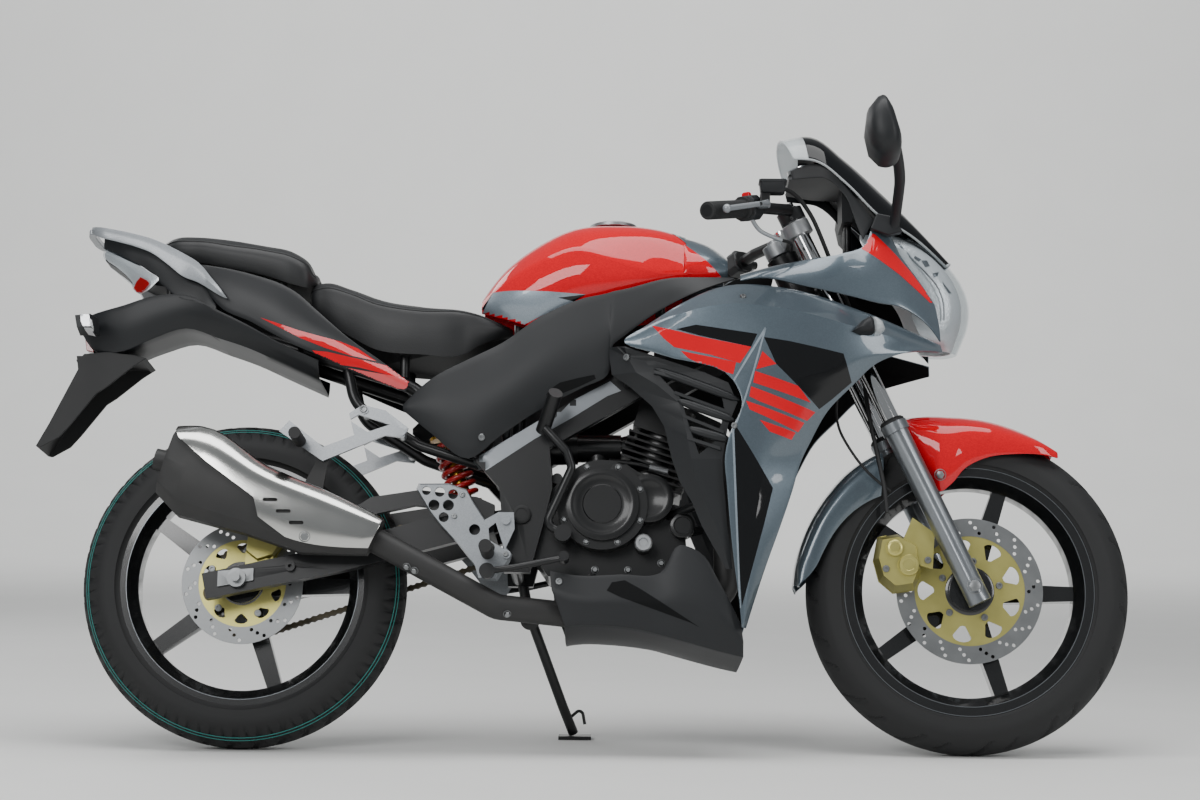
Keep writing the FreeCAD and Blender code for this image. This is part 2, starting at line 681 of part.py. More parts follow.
# Frame: twin spars from the steering head to the pivot plates, and the seat rails
def makeFrame():
    head = pipe(forkPoint(d.lower_clamp + 38, 0, -d.steer_offset),
                forkPoint(d.upper_clamp - 4, 0, -d.steer_offset), 30, 13.5)
    spar = plate([(422, 522), (665, 672), (900, 800), (985, 850), (1010, 800), (930, 752), (724, 640),
                  (560, 545), (566, 470), (548, 395), (527, 316), (480, 316), (476, 400), (470, 470)],
                 92, 118)
    gusset = hull([[(965, -118, 790), (965, 118, 790), (965, 118, 846), (965, -118, 846)],
                   [(1010, -24, 800), (1010, 24, 800), (1010, 24, 862), (1010, -24, 862)]])
    shaft = rod(Vector(d.pivot_x, -122, d.pivot_z), Vector(d.pivot_x, 122, d.pivot_z), 12)
    cross = rod(Vector(500, -100, 328), Vector(500, 100, 328), 11)
    upper = rod(Vector(470, -100, 505), Vector(470, 100, 505), 14)
    hole = rod(forkPoint(d.lower_clamp, 0, -d.steer_offset),
               forkPoint(d.upper_clamp + 40, 0, -d.steer_offset), 28)
    frame = [mirrored(spar), gusset.cut(hole), head, shaft, cross, upper]
    rail = bentBar([(450, 96, 548), (300, 84, 664), (60, 70, 741), (-190, 56, 808)], 13, 120)
    stay = bentBar([(476, 96, 500), (320, 84, 552), (200, 80, 628), (186, 78, 692)], 10, 60)
    bridges = [rod(Vector(60, -70, 741), Vector(60, 70, 741), 10),
               rod(Vector(352, -88, 622), Vector(352, -18.3, 622), 10),
               rod(Vector(352, 18.3, 622), Vector(352, 88, 622), 10),
               rod(Vector(330, -86, 638), Vector(330, 86, 638), 8)]
    back = rod(Vector(-188, -56, 807), Vector(-188, 56, 807), 11)
    rails = [rail, mirrored(rail), stay, mirrored(stay), back] + bridges
    noseStay = bentBar([(990, 0, 840), (1060, 0, 868), (1112, 0, 902)], 12, 30)
    return spar.fuse(frame + rails + [noseStay.cut(hole)] + makeStandBracket())


# Side stand: a bracket on the frame and a leg whose foot lies flat on the road
standPivot = Vector(d.stand_pivot_x, d.stand_pivot_y, d.stand_pivot_z)
standAxis = Vector(0, math.cos(math.radians(24)), math.sin(math.radians(24)))


def makeStandBracket():
    pin = rod(standPivot - standAxis * 30, standPivot + standAxis * 12, 6)
    ear = rod(standPivot - standAxis * 22, standPivot - standAxis * 10.5, 18)
    post = rod(standPivot - standAxis * 24, Vector(504, 104, 340), 10)
    room = rod(standPivot - standAxis * 10.4, standPivot + standAxis * 30, 19)
    return [pin, ear, post.cut(room)]



# Swingarm: two box tubes, a cross tube and the axle held in slotted ends
def makeSwingarm():
    near = d.arm_spread - 16
    far = d.arm_spread + 14
    arm = plate([(-64, rearAxle.z + 8), (-54, rearAxle.z - 38), (197, 316), (400, 372), (462, 388),
                 (462, 432), (330, 408), (110, 346)], near, far)
    brace = plate([(150, 352), (198, 424), (238, 450), (325, 464), (430, 452), (462, 438), (462, 424),
                   (430, 424), (318, 436), (250, 420), (214, 384), (200, 352)], near + 4, far - 4)
    cross = plate([(400, 376), (462, 390), (462, 426), (400, 414)], -near, near)
    barrel = pipe(pivot + Vector(0, 70, 0), pivot + Vector(0, 91.5, 0), 18, 12)
    sleeve = pipe(pivot + Vector(0, -72, 0), pivot + Vector(0, 72, 0), 18, 12)
    web = plate([(430, 380), (511, 408), (511, 440), (430, 426)], 70, 91.5)
    web = web.cut(rod(pivot, pivot + Vector(0, 100, 0), 12))
    reach = plate([(430, 382), (462, 390), (462, 428), (430, 424)], 80, near + 2)
    side = arm.fuse([brace, barrel, web, reach])
    side = side.cut(rod(rearAxle, rearAxle + Vector(0, 200, 0), d.axle_radius))
    bobbin = pipe(Vector(96, far, 321), Vector(96, far + 10, 321), 9, 3.4)
    keep("swingarm", side.fuse([bobbin, mirrored(side), mirrored(bobbin), cross, sleeve]))
    spindle = rod(rearAxle + Vector(0, -far - 26, 0), rearAxle + Vector(0, far + 26, 0), d.axle_radius)
    seat = d.rear_hub_width / 2
    left = pipe(rearAxle + Vector(0, seat + 8, 0), rearAxle + Vector(0, near, 0),
                d.axle_radius + 8, d.axle_radius - 1)
    right = pipe(rearAxle + Vector(0, -seat - d.disc_wall - 1, 0), rearAxle + Vector(0, -near, 0),
                 d.axle_radius + 8, d.axle_radius - 1)
    nut = rod(rearAxle + Vector(0, -far - 14, 0), rearAxle + Vector(0, -far, 0), 17)
    block = plate([(-34, rearAxle.z - 16), (30, rearAxle.z - 4), (30, rearAxle.z + 18),
                   (-34, rearAxle.z + 12)], -far - 6, -far)
    head = rod(rearAxle + Vector(0, far, 0), rearAxle + Vector(0, far + 14, 0), 15)
    keep("rear_axle", spindle.fuse([left, right, nut, head, block, mirrored(block)]))


makeSwingarm()


# Shock absorber between the swingarm's cross tube and the frame
def makeShock():
    low = Vector(412, 0, 430.5)
    high = Vector(352, 0, 622)
    along = (high - low).normalize()
    damper = rod(low, low + along * 120, 14).fuse(rod(low, high, 8))
    eyes = [rod(point + Vector(0, -18, 0), point + Vector(0, 18, 0), 13) for point in (low, high)]
    seats = [rod(low + along * run, low + along * (run + 6), 31) for run in (24, 158)]
    keep("shock_absorber", damper.fuse(eyes + seats))
    keep("shock_spring", coil(low + along * 35.3, along, 117.4, 25, 5, 7))


# A coil spring with a six-sided wire, wound round an axis between two seats
def coil(base, axis, length, radius, wire, turns):
    side = Vector(0, 1, 0)
    front = axis.cross(side)
    stepsPerTurn = 12
    steps = turns * stepsPerTurn
    rings = []
    for step in range(steps + 1):
        angle = 2 * math.pi * step / stepsPerTurn
        outward = side * math.cos(angle) + front * math.sin(angle)
        centre = base + axis * (length * step / steps) + outward * radius
        rings.append([centre + outward * wire * math.cos(math.pi * k / 3)
                      + axis * wire * math.sin(math.pi * k / 3) for k in range(6)])
    return gridSolid(rings)


makeShock()


# Engine: crankcase, covers, finned cylinder, carburettor
def makeEngine():
    case = plate([(560, 312), (780, 312), (812, 350), (806, 420), (760, 480), (700, 520), (600, 505),
                  (566, 474), (548, 400), (532, 380), (532, 352)], -92, 66)
    clutch = rod(Vector(657, -92, 438), Vector(657, -136, 438), 82)
    cover = rod(Vector(657, -136, 438), Vector(657, -144, 438), 66)
    lobe = rod(Vector(742, -92, 452), Vector(742, -128, 452), 44)
    strainer = rod(Vector(732, -92, 369), Vector(732, -134, 369), 16)
    round1 = rod(Vector(803, -88, 403), Vector(803, -122, 403), 22)
    magneto = rod(Vector(712, 66, 440), Vector(712, 122, 440), 70)
    sprocketCover = plate([(574, 384), (650, 372), (660, 480), (600, 494), (576, 478)], 94, 112)
    spacer = plate([(632, 380), (650, 380), (650, 472), (632, 472)], 60, 96)
    sprocket = rod(engineSprocket + Vector(0, 60, 0), engineSprocket + Vector(0, d.chain_line + 3, 0),
                   frontPitch - d.chain_height / 2 - 0.3)
    mounts = [rod(Vector(x, -92, z), Vector(x, 92, z), 10) for x, z in ((574, 492), (540, 366))]
    shaft = rod(Vector(587, -92, 381), Vector(587, -148, 381), 9)
    keep("engine_case", case.fuse([clutch, cover, lobe, strainer, round1, magneto, sprocketCover,
                                   spacer, sprocket, shaft] + mounts))
    fins = []
    for index in range(int(d.cylinder_fin_count)):
        fin = Part.makeBox(128, 132, 4, Vector(-64, -66, 10 + index * d.fin_pitch))
        fins.append(fin)
    stackHeight = 10 + d.cylinder_fin_count * d.fin_pitch
    barrel = Part.makeCylinder(50, stackHeight + 2)
    head = Part.makeBox(120, 124, 46, Vector(-60, -62, stackHeight))
    cover = Part.makeCylinder(42, 18, Vector(0, 0, stackHeight + 46))
    stack = barrel.fuse(fins + [head, cover])
    stack.rotate(Vector(0, 0, 0), Vector(0, 1, 0), 18)
    stack.translate(Vector(736, 0, 478))
    keep("cylinder", largest(stack.cut(pieces["engine_case"][0].Shape)))
    body = rod(Vector(610, -20, 560), Vector(690, -20, 560), 26)
    bowl = rod(Vector(648, -20, 520), Vector(648, -20, 560), 22)
    boot = rod(Vector(690, -20, 560), Vector(716, -20, 566), 22)
    intake = rod(Vector(540, -20, 558), Vector(610, -20, 560), 30)
    keep("carburettor", largest(body.fuse([bowl, boot, intake]).cut(pieces["cylinder"][0].Shape)))


makeEngine()


# Exhaust: header down in front of the engine, under it and back up to the muffler
def makeExhaust():
    header = bentBar([(835, -20, 582), (880, -26, 567), (884, -84, 290), (806, -100, 234),
                      (600, -110, 240), (470, -138, 250), (250, -158, 366), (190, -166, 392)],
                     d.exhaust_radius, 36)
    flange = rod(Vector(834, -20, 582.3), Vector(843, -21, 579.3), 32)
    flange = flange.cut(pieces["cylinder"][0].Shape)
    pipework = largest(header.fuse(flange).cut(pieces["cylinder"][0].Shape))
    stations = [((268, 398), (238, 336), 28), ((180, 440), (120, 338), 40), ((60, 490), (18, 372), 50),
                ((-60, 560), (-104, 404), 54), ((-104, 560), (-140, 442), 52)]
    rings = []
    for (topX, topZ), (lowX, lowZ), half in stations:
        ring = []
        for share, out in ((0, 0.45), (0.14, 0.86), (0.5, 1), (0.86, 0.86), (1, 0.45), (1, -0.45),
                           (0.86, -0.86), (0.5, -1), (0.14, -0.86), (0, -0.45)):
            ring.append((topX + (lowX - topX) * share, -178 - half * out,
                         topZ + (lowZ - topZ) * share))
        rings.append(ring)
    body = hull(rings)
    outlet = rod(Vector(-118, -178, 500), Vector(-146, -178, 506), 20)
    bore = rod(Vector(-100, -178, 496), Vector(-150, -178, 507), 16)
    hanger = plate([(90, 420), (140, 396), (160, 516), (144, 524)], -127, -133.8)
    boss = rod(Vector(122, -130, 402), Vector(122, -144, 402), 9)
    keep("exhaust", body.fuse(outlet).cut(bore).fuse([hanger, boss, pipework]))
    shieldRows = []
    for (topX, topZ), (lowX, lowZ), half in stations:
        row = []
        for share, out in ((0, 0.45), (0.14, 0.86), (0.5, 1)):
            outward = -178 - half * out - 2.6
            row.append((topX + (lowX - topX) * share - 2 * (share == 0),
                        outward, topZ + (lowZ - topZ) * share + 2.4 * (share == 0)))
        shieldRows.append(row)
    shield = panel(shieldRows, 2, Vector(80, -178, 430))
    keep("muffler_shield", largest(shield.cut(pieces["exhaust"][0].Shape)))


makeExhaust()


# Fuel tank: sections across it, each of two straight walls and three arcs
# x, floor half width, floor, widest half width, its height, shoulder half, height, crown half, height, top
TANK = [
    (429, 50, 807, 62, 815, 57, 826, 40, 834, 839),
    (470, 88, 790, 104, 817, 98, 850, 68, 880, 893),
    (530, 110, 772, 130, 838, 123, 884, 90, 920, 942),
    (600, 122, 795, 145, 868, 137, 918, 98, 953, 974),
    (680, 128, 815, 150, 880, 142, 928, 102, 962, 982),
    (760, 125, 835, 146, 885, 138, 925, 98, 955, 972),
    (806, 118, 845, 136, 886, 128, 918, 92, 944, 957),
]


def tankSection(x, floorHalf, floor, wide, wideZ, shoulder, shoulderZ, crown, crownZ, top):
    share = d.tank_width / 300
    corners = [Vector(x, side * half * share, z) for side in (1, -1)
               for half, z in ((floorHalf, floor), (wide, wideZ), (shoulder, shoulderZ),
                               (crown, crownZ))]
    lowLeft, wideLeft, sideLeft, crownLeft, lowRight, wideRight, sideRight, crownRight = corners
    edges = [Part.LineSegment(lowRight, lowLeft), Part.LineSegment(lowLeft, wideLeft),
             Part.Arc(wideLeft, sideLeft, crownLeft),
             Part.Arc(crownLeft, Vector(x, 0, top), crownRight),
             Part.Arc(crownRight, sideRight, wideRight), Part.LineSegment(wideRight, lowRight)]
    return Part.Wire([edge.toShape() for edge in edges])


keep("fuel_tank", Part.makeLoft([tankSection(*row) for row in TANK], True, False))
capSeat = Vector(672, 0, 982.5)
keep("fuel_cap", Part.makeCylinder(44, 7, capSeat).fuse(Part.makeCylinder(32, 11, capSeat)))

# Grey cover between the tank and the steering head
COVER = [(806.3, 120, 850, 136, 888, 128, 918, 92, 943, 955),
         (850, 112, 855, 126, 884, 118, 908, 84, 930, 940),
         (884, 92, 862, 106, 882, 98, 898, 70, 912, 920)]


def makeTankCover():
    block = Part.makeLoft([tankSection(*row) for row in COVER], True, False)
    keep("tank_cover", block)


makeTankCover()


# Seats: a flat base and a crowned cushion, in sections along the bike
def cushion(name, table):
    widest = max(row[2] for row in table)
    share = d.seat_width / 2 / widest if name == "rider_seat" else 1
    rings = []
    for x, floor, half, edge, crown in table:
        half *= share
        rings.append([(x, -half + 8, floor), (x, half - 8, floor), (x, half, (floor + edge) / 2),
                      (x, half - 6, edge), (x, half * 0.55, crown - 3), (x, 0, crown),
                      (x, -half * 0.55, crown - 3), (x, -half + 6, edge),
                      (x, -half, (floor + edge) / 2)])
    keep(name, hull(rings))


# x, floor, half width, edge height, crown height
cushion("rider_seat", [
    (118, 796, 84, 842, 860), (140, 782, 95, 846, 864), (190, 752, 108, 832, 850),
    (238, 726, 118, 812, 832), (320, 716, 125, 798, 816), (400, 718, 118, 797, 808),
    (428, 738, 104, 793, 802), (480, 762, 70, 776, 784)])
cushion("pillion_seat", [
    (-166, 904, 60, 928, 940), (-148, 899, 76, 934, 948), (-100, 894, 88, 934, 950),
    (-35, 880, 98, 924, 943), (30, 866, 104, 914, 932), (80, 850, 106, 902, 920),
    (108, 846, 96, 886, 900), (116, 852, 84, 872, 882)])


# Side panels; each row runs from its upper edge to its lower edge, then all are mirrored
def sidePanel(name, rows, inside):
    shape = panel(rows, d.panel_wall, inside)
    return keep(name, bothSides(shape))


# x, upper edge and its half width, bulge height and half width, lower edge and half width
SIDE = [
    (292, 621, 124, 616, 126, 610, 124), (343, 668, 130, 620, 140, 568, 132),
    (413, 706, 132, 622, 148, 520, 136), (470, 735, 132, 650, 152, 561, 140),
    (542, 785, 138, 700, 156, 610, 144), (620, 817, 149, 740, 158, 651, 148),
    (664, 826, 154, 760, 160, 674, 150), (674, 829, 155, 790, 161, 729, 158),
    (690, 832, 156, 790, 162, 742, 160), (777, 855, 154, 830, 162, 803, 166),
    (832, 858, 150, 845, 158, 830, 166), (893, 859, 144, 857, 148, 855, 152)]
sidePanel("side_covers", [[(x, upHalf, up), (x, midHalf, mid), (x, lowHalf, low)]
                          for x, up, upHalf, mid, midHalf, low, lowHalf in SIDE], Vector(560, 0, 700))

# Fairing sides: rows from the upper edge down to the pointed lower tip, rear edge to front edge
FAIRING = [
    [(780, 188, 790), (880, 170, 838), (993, 160, 836), (1120, 150, 800), (1276, 98, 746)],
    [(724, 198, 750), (877, 214, 794), (985, 215, 786), (1110, 200, 758), (1278, 112, 730)],
    [(694, 201, 728), (870, 213, 745), (980, 217, 730), (1095, 202, 718), (1211, 165, 719)],
    [(762, 204, 701), (880, 214, 692), (970, 217, 680), (1060, 204, 676), (1150, 178, 694)],
    [(890, 214, 654), (925, 215, 650), (968, 212, 645), (1035, 200, 640), (1106, 180, 652)],
    [(906, 214, 616), (930, 213, 612), (965, 208, 606), (1015, 195, 602), (1062, 176, 606)],
    [(884, 209, 556), (915, 209, 556), (950, 204, 555), (990, 190, 552), (1032, 172, 552)],
    [(876, 204, 516), (905, 204, 516), (938, 200, 516), (972, 186, 516), (1014, 170, 514)],
    [(880, 198, 464), (904, 198, 464), (932, 194, 463), (962, 182, 462), (999, 167, 462)],
    [(886, 192, 396), (904, 192, 396), (926, 189, 396), (950, 178, 396), (977, 164, 396)],
    [(894, 185, 326), (906, 185, 326), (920, 182, 326), (935, 174, 326), (952, 161, 326)],
    [(903, 178, 262), (909, 178, 262), (916, 176, 262), (923, 170, 262), (931, 159, 262)],
    [(908, 172, 214), (909, 172, 214), (911, 171, 213), (913, 168, 213), (916, 163, 213)],
]
sidePanel("fairing_sides", FAIRING, Vector(960, 0, 640))

# Vented panels behind the fairing edges, with three blades across the air outlet
VENT = [
    [(666, 158, 722), (680, 172, 722), (696, 186, 720)],
    [(668, 160, 700), (700, 180, 701), (758, 192, 698)],
    [(672, 162, 672), (716, 186, 672), (836, 198, 672)],
    [(705, 166, 649), (752, 190, 650), (882, 202, 652)],
    [(745, 172, 613), (793, 194, 616), (898, 202, 616)],
    [(767, 175, 576), (804, 196, 576), (882, 198, 576)],
    [(782, 176, 514), (816, 194, 514), (872, 193, 514)],
    [(796, 176, 474), (826, 190, 474), (874, 187, 474)],
    [(818, 176, 438), (842, 187, 438), (878, 184, 438)],
    [(836, 175, 395), (860, 184, 395), (881, 181, 395)],
    [(854, 174, 363), (872, 181, 363), (886, 178, 363)],
    [(880, 172, 318), (886, 174, 318), (891, 173, 318)],
]


def makeVents():
    skin = panel(VENT, d.panel_wall, Vector(820, 0, 560))
    window = plate([(756, 668), (868, 636), (876, 600), (860, 548), (830, 522), (812, 572), (798, 622)],
                   150, 230)
    frame = skin.cut(window)
    blades = []
    for rearX, rearZ, frontX, frontZ in ((748, 672, 884, 634), (786, 634, 884, 598),
                                         (800, 592, 874, 562), (808, 552, 868, 532)):
        blades.append(hull([
            [(rearX, 186, rearZ + 5), (rearX, 196, rearZ + 3), (rearX, 196, rearZ - 3),
             (rearX, 186, rearZ - 5)],
            [(frontX, 186, frontZ + 5), (frontX, 200, frontZ + 3), (frontX, 200, frontZ - 3),
             (frontX, 186, frontZ - 5)]]))
    keep("vent_panels", bothSides(frame.fuse(blades)))


makeVents()

# Belly pan: one tub under the engine
# x, upper edge and half width, side height and half width, lower edge and half width, floor
BELLY = [
    (564, 315, 148, 568, 280, 156, 592, 216, 150, 200), (612, 307, 151, 610, 265, 161, 608, 217, 152, 203),
    (690, 309, 155, 690, 262, 165, 680, 216, 156, 203), (762, 312, 158, 764, 258, 166, 740, 207, 156, 197),
    (797, 362, 162, 800, 262, 168, 790, 194, 156, 189), (832, 350, 164, 840, 250, 168, 834, 182, 154, 181),
    (869, 295, 163, 878, 226, 165, 872, 172, 152, 171), (908, 220, 158, 912, 190, 156, 912, 163, 148, 162)]


def makeBelly():
    rows = []
    for topX, top, topHalf, sideX, side, sideHalf, lowX, low, lowHalf, floor in BELLY:
        left = [(topX, topHalf, top), (sideX, sideHalf, side), (lowX, lowHalf, low), (lowX, 60, floor)]
        rows.append(left + [(x, -y, z) for x, y, z in left[::-1]])
    keep("belly_pan", panel(rows, d.panel_wall, Vector(740, 0, 380)))


makeBelly()

# Nose cowl: shoulders from the tank cover to the headlight, lower edge to upper edge
NOSE = [
    [(905, 160, 851), (905, 150, 861), (905, 138, 866)],
    [(941, 158, 857), (945, 147, 872), (950, 134, 880)],
    [(1020, 156, 843), (1022, 146, 878), (1025, 132, 897)],
    [(1085, 150, 831), (1088, 141, 878), (1092, 130, 910)],
    [(1130, 142, 822), (1132, 132, 880), (1134, 112, 929)],
    [(1160, 137, 816), (1162, 124, 890), (1158, 100, 972)],
    [(1196, 130, 812), (1192, 114, 885), (1181, 94, 958)],
    [(1225, 122, 800), (1218, 106, 862), (1205, 90, 916)],
    [(1255, 112, 778), (1250, 98, 825), (1240, 86, 868)],
    [(1276, 102, 752), (1274, 92, 788), (1268, 82, 826)],
]
sidePanel("nose_cowl", NOSE, Vector(1080, 0, 840))


# Headlight: one clear lens wrapped round the nose, level by level
# height, tip, flank and its half width, side and its half width
def makeHeadlight():
    levels = [(746, 1316, 1311, 14, 1294, 30), (768, 1326, 1316, 34, 1284, 60),
              (797, 1337, 1324, 42, 1270, 70), (840, 1338, 1322, 44, 1254, 76),
              (880, 1318, 1300, 45, 1228, 80), (920, 1272, 1256, 44, 1192, 80),
              (950, 1234, 1218, 40, 1172, 78), (964, 1212, 1198, 32, 1172, 64)]
    rings = []
    for z, tip, flank, flankHalf, side, sideHalf in levels:
        back = side - 46
        rings.append([(back, -sideHalf + 6, z), (side, -sideHalf, z), (flank, -flankHalf, z), (tip, 0, z),
                      (flank, flankHalf, z), (side, sideHalf, z), (back, sideHalf - 6, z)])
    keep("headlight", hull(rings))


makeHeadlight()


# Windscreen: rows across it from the nose up to the trailing lip
# middle x and height, edge x, height and half width
def makeWindscreen():
    stations = [(1306, 922, 1296, 914, 16), (1240, 990, 1232, 958, 62), (1172, 1056, 1162, 992, 99),
                (1104, 1116, 1102, 1048, 114), (1040, 1160, 1046, 1088, 120), (982, 1150, 1006, 1094, 114)]
    rows = []
    for middleX, middleZ, edgeX, edgeZ, half in stations:
        row = []
        for turn in (-90, -60, -30, 0, 30, 60, 90):
            side = math.sin(math.radians(turn))
            rise = math.cos(math.radians(turn))
            row.append((edgeX + (middleX - edgeX) * rise, half * side, edgeZ + (middleZ - edgeZ) * rise))
        rows.append(row)
    keep("windscreen", panel(rows, 3, Vector(1060, 0, 860)))


makeWindscreen()


def makeDash():
    rings = []
    for x, low, high, half in ((1000, 1068, 1084, 60), (1052, 1066, 1094, 84), (1104, 1064, 1082, 84),
                               (1120, 1056, 1074, 78)):
        rings.append([(x, -half, low), (x, half, low), (x, half - 4, high - 10), (x, half * 0.6, high),
                      (x, -half * 0.6, high), (x, -half + 4, high - 10)])
    body = Part.makeBox(20, 104, 82, Vector(1099, -52, 990))
    keep("dash_panel", hull(rings).fuse(body))


makeDash()


# Mirrors on stems from the screen's sides
def makeMirrors():
    head = [(1134, 1139), (1148, 1142), (1163, 1129), (1180, 1092), (1189, 1059), (1183, 1037),
            (1148, 1026), (1138, 1029)]
    rings = []
    for out, share, shift in ((262, 0.5, 6), (276, 0.86, 2), (318, 1, 0), (366, 0.98, -2), (404, 0.7, -4)):
        ring = []
        for x, z in head:
            ring.append((1160 + shift + (x - 1160) * 0.8 * share, out, 1086 + (z - 1086) * share))
        rings.append(ring)
    body = hull(rings)
    stem = bentBar([(1174, 122, 968), (1186, 170, 1000), (1190, 236, 1030), (1172, 300, 1062)], 8, 26)
    foot = bevelledPlate([(1148, 962), (1160, 990), (1186, 986), (1204, 958), (1180, 950)], 96, 124, 0.7)
    mirror = body.fuse([stem, foot])
    for name in ("nose_cowl", "windscreen"):
        mirror = largest(mirror.cut(pieces[name][0].Shape))
    keep("mirrors", bothSides(mirror))


makeMirrors()


# Tail: striped side covers, the black arm below them, the tray, lamp and plate holder
# upper edge, middle and lower edge of each row: x, half width, height
TAIL = [
    [(-90, 92, 887), (-92, 94, 882), (-94, 94, 874)],
    [(-34, 104, 876), (-40, 108, 850), (-46, 106, 800)],
    [(21, 110, 861), (14, 116, 820), (6, 112, 776)],
    [(59, 112, 848), (56, 120, 795), (50, 116, 752)],
    [(89, 112, 832), (92, 121, 775), (92, 118, 730)],
    [(126, 114, 800), (132, 122, 752), (136, 118, 712)],
    [(190, 122, 744), (194, 125, 712), (198, 119, 684)],
    [(260, 128, 694), (262, 128, 676), (262, 121, 657)],
    [(303, 130, 662), (300, 128, 653), (296, 123, 644)],
]
sidePanel("tail_covers", TAIL, Vector(100, 0, 780))

# Band between the tail covers and the tail arm: upper edge and its half width, lower edge and its half width
BAND = [
    (-280, 933, 36, 928, 36), (-242, 926, 56, 906, 56), (-205, 914, 66, 886, 66), (-168, 899, 74, 856, 78),
    (-130, 880, 82, 824, 90), (-92, 864, 90, 814, 96), (-70, 828, 98, 802, 101), (-58, 808, 102, 797, 102)]

# Lower tail arm and tray: x, upper edge, its half width, lower edge, its half width
ARM = [
    (-322, 792, 34, 780, 34), (-284, 800, 62, 729, 48), (-233, 812, 76, 728, 62),
    (-178, 828, 84, 750, 70), (-116, 829, 92, 769, 76), (-54, 798, 104, 750, 80),
    (2, 770, 108, 731, 84), (60, 737, 112, 705, 86), (134, 704, 112, 672, 86)]


def makeTray():
    rows = []
    for x, top, topHalf, low, lowHalf in ARM:
        left = [(x, topHalf, top), (x, (topHalf + lowHalf) / 2 + 5, (top + low) / 2), (x, lowHalf, low)]
        rows.append(left + [(px, -py, pz) for px, py, pz in left[::-1]])
    tray = panel(rows, d.panel_wall, Vector(-60, 0, 790))
    rings = []
    for x, low, high, half in ((-284, 905, 930, 34), (-250, 888, 922, 52), (-190, 858, 902, 66),
                               (-150, 850, 890, 74), (-98, 845, 876, 84)):
        rings.append([(x, -half, low), (x, half, low), (x, half, high - 8), (x, half - 14, high),
                      (x, -half + 14, high), (x, -half, high - 8)])
    side = panel([[(x, topHalf, top), (x, (topHalf + lowHalf) / 2 + 1, (top + low) / 2), (x, lowHalf, low)]
                  for x, top, topHalf, low, lowHalf in BAND], d.panel_wall, Vector(-150, 0, 850))
    keep("tail_tray", tray.fuse([hull(rings), side, mirrored(side)]))


makeTray()


def makeTailLight():
    side = [(-281, 928), (-249, 921), (-222, 907), (-191, 885), (-178, 866), (-190, 855), (-212, 841),
            (-226, 858), (-251, 888), (-279, 910)]
    lens = bevelledPlate(side, 0, 6, 0.9)
    lens.rotate(Vector(-281, 0, 915), Vector(0, 0, 1), 18)
    lens.translate(Vector(0, 34, 0))
    lens = lens.cut(pieces["tail_tray"][0].Shape)
    keep("tail_light", bothSides(lens))


makeTailLight()


def makeRearMudguard():
    outline = [(-320, 722), (-262, 727), (-214, 722), (-190, 716), (-214, 700), (-262, 660), (-280, 648),
               (-326, 588), (-345, 566), (-378, 547), (-388, 549), (-366, 590), (-316, 694)]
    tray = plate(outline, -58, 58)
    hollow = plate([(-330, 640), (-262, 716), (-196, 714), (-214, 690), (-262, 646), (-280, 634),
                    (-326, 574), (-345, 552), (-376, 533), (-392, 536)], -54, 54)
    guard = tray.cut(hollow)
    lamp = plate([(-338, 742), (-326, 742), (-310, 712), (-322, 708)], -22, 22)
    keep("rear_mudguard", guard.fuse(lamp))
    pods = rod(Vector(-293, 58, 766), Vector(-293, 92, 766), 9)
    lens = bevelledPlate([(-314, 780), (-276, 784), (-272, 750), (-308, 750)], 92, 150, 0.72)
    return largest(pods.fuse(lens).cut(pieces["tail_tray"][0].Shape))


rearIndicator = makeRearMudguard()


# Grab rails: one flat bar round the tail
def makeGrabRails():
    rows = [(-36, 113, 818, 814), (-66, 108, 856, 832), (-92, 102, 886, 847), (-120, 96, 905, 858),
            (-148, 93, 920, 881), (-182, 90, 932, 905), (-212, 87, 940, 917), (-250, 82, 948, 930),
            (-290, 74, 957, 944)]
    rings = []
    for x, half, high, low in rows:
        rings.append([(x, half + 12, low), (x, half + 14, high), (x, half, high + 2), (x, half - 2, low + 2)])
    arm = hull(rings)
    back = Part.makeBox(16, 150, 12, Vector(-304, -75, 946))
    keep("grab_rails", arm.fuse([mirrored(arm), back]))


makeGrabRails()


# Indicators in the fairing's flanks
def makeFrontIndicators():
    lens = bevelledPlate([(1102, 744), (1128, 748), (1164, 722), (1158, 706), (1124, 712)], 196, 222, 0.6)
    lens = lens.cut(pieces["fairing_sides"][0].Shape)
    outer = max(lens.Solids, key=lambda solid: solid.BoundBox.YMax)
    keep("indicators", bothSides(Part.makeCompound([outer, rearIndicator])))


makeFrontIndicators()


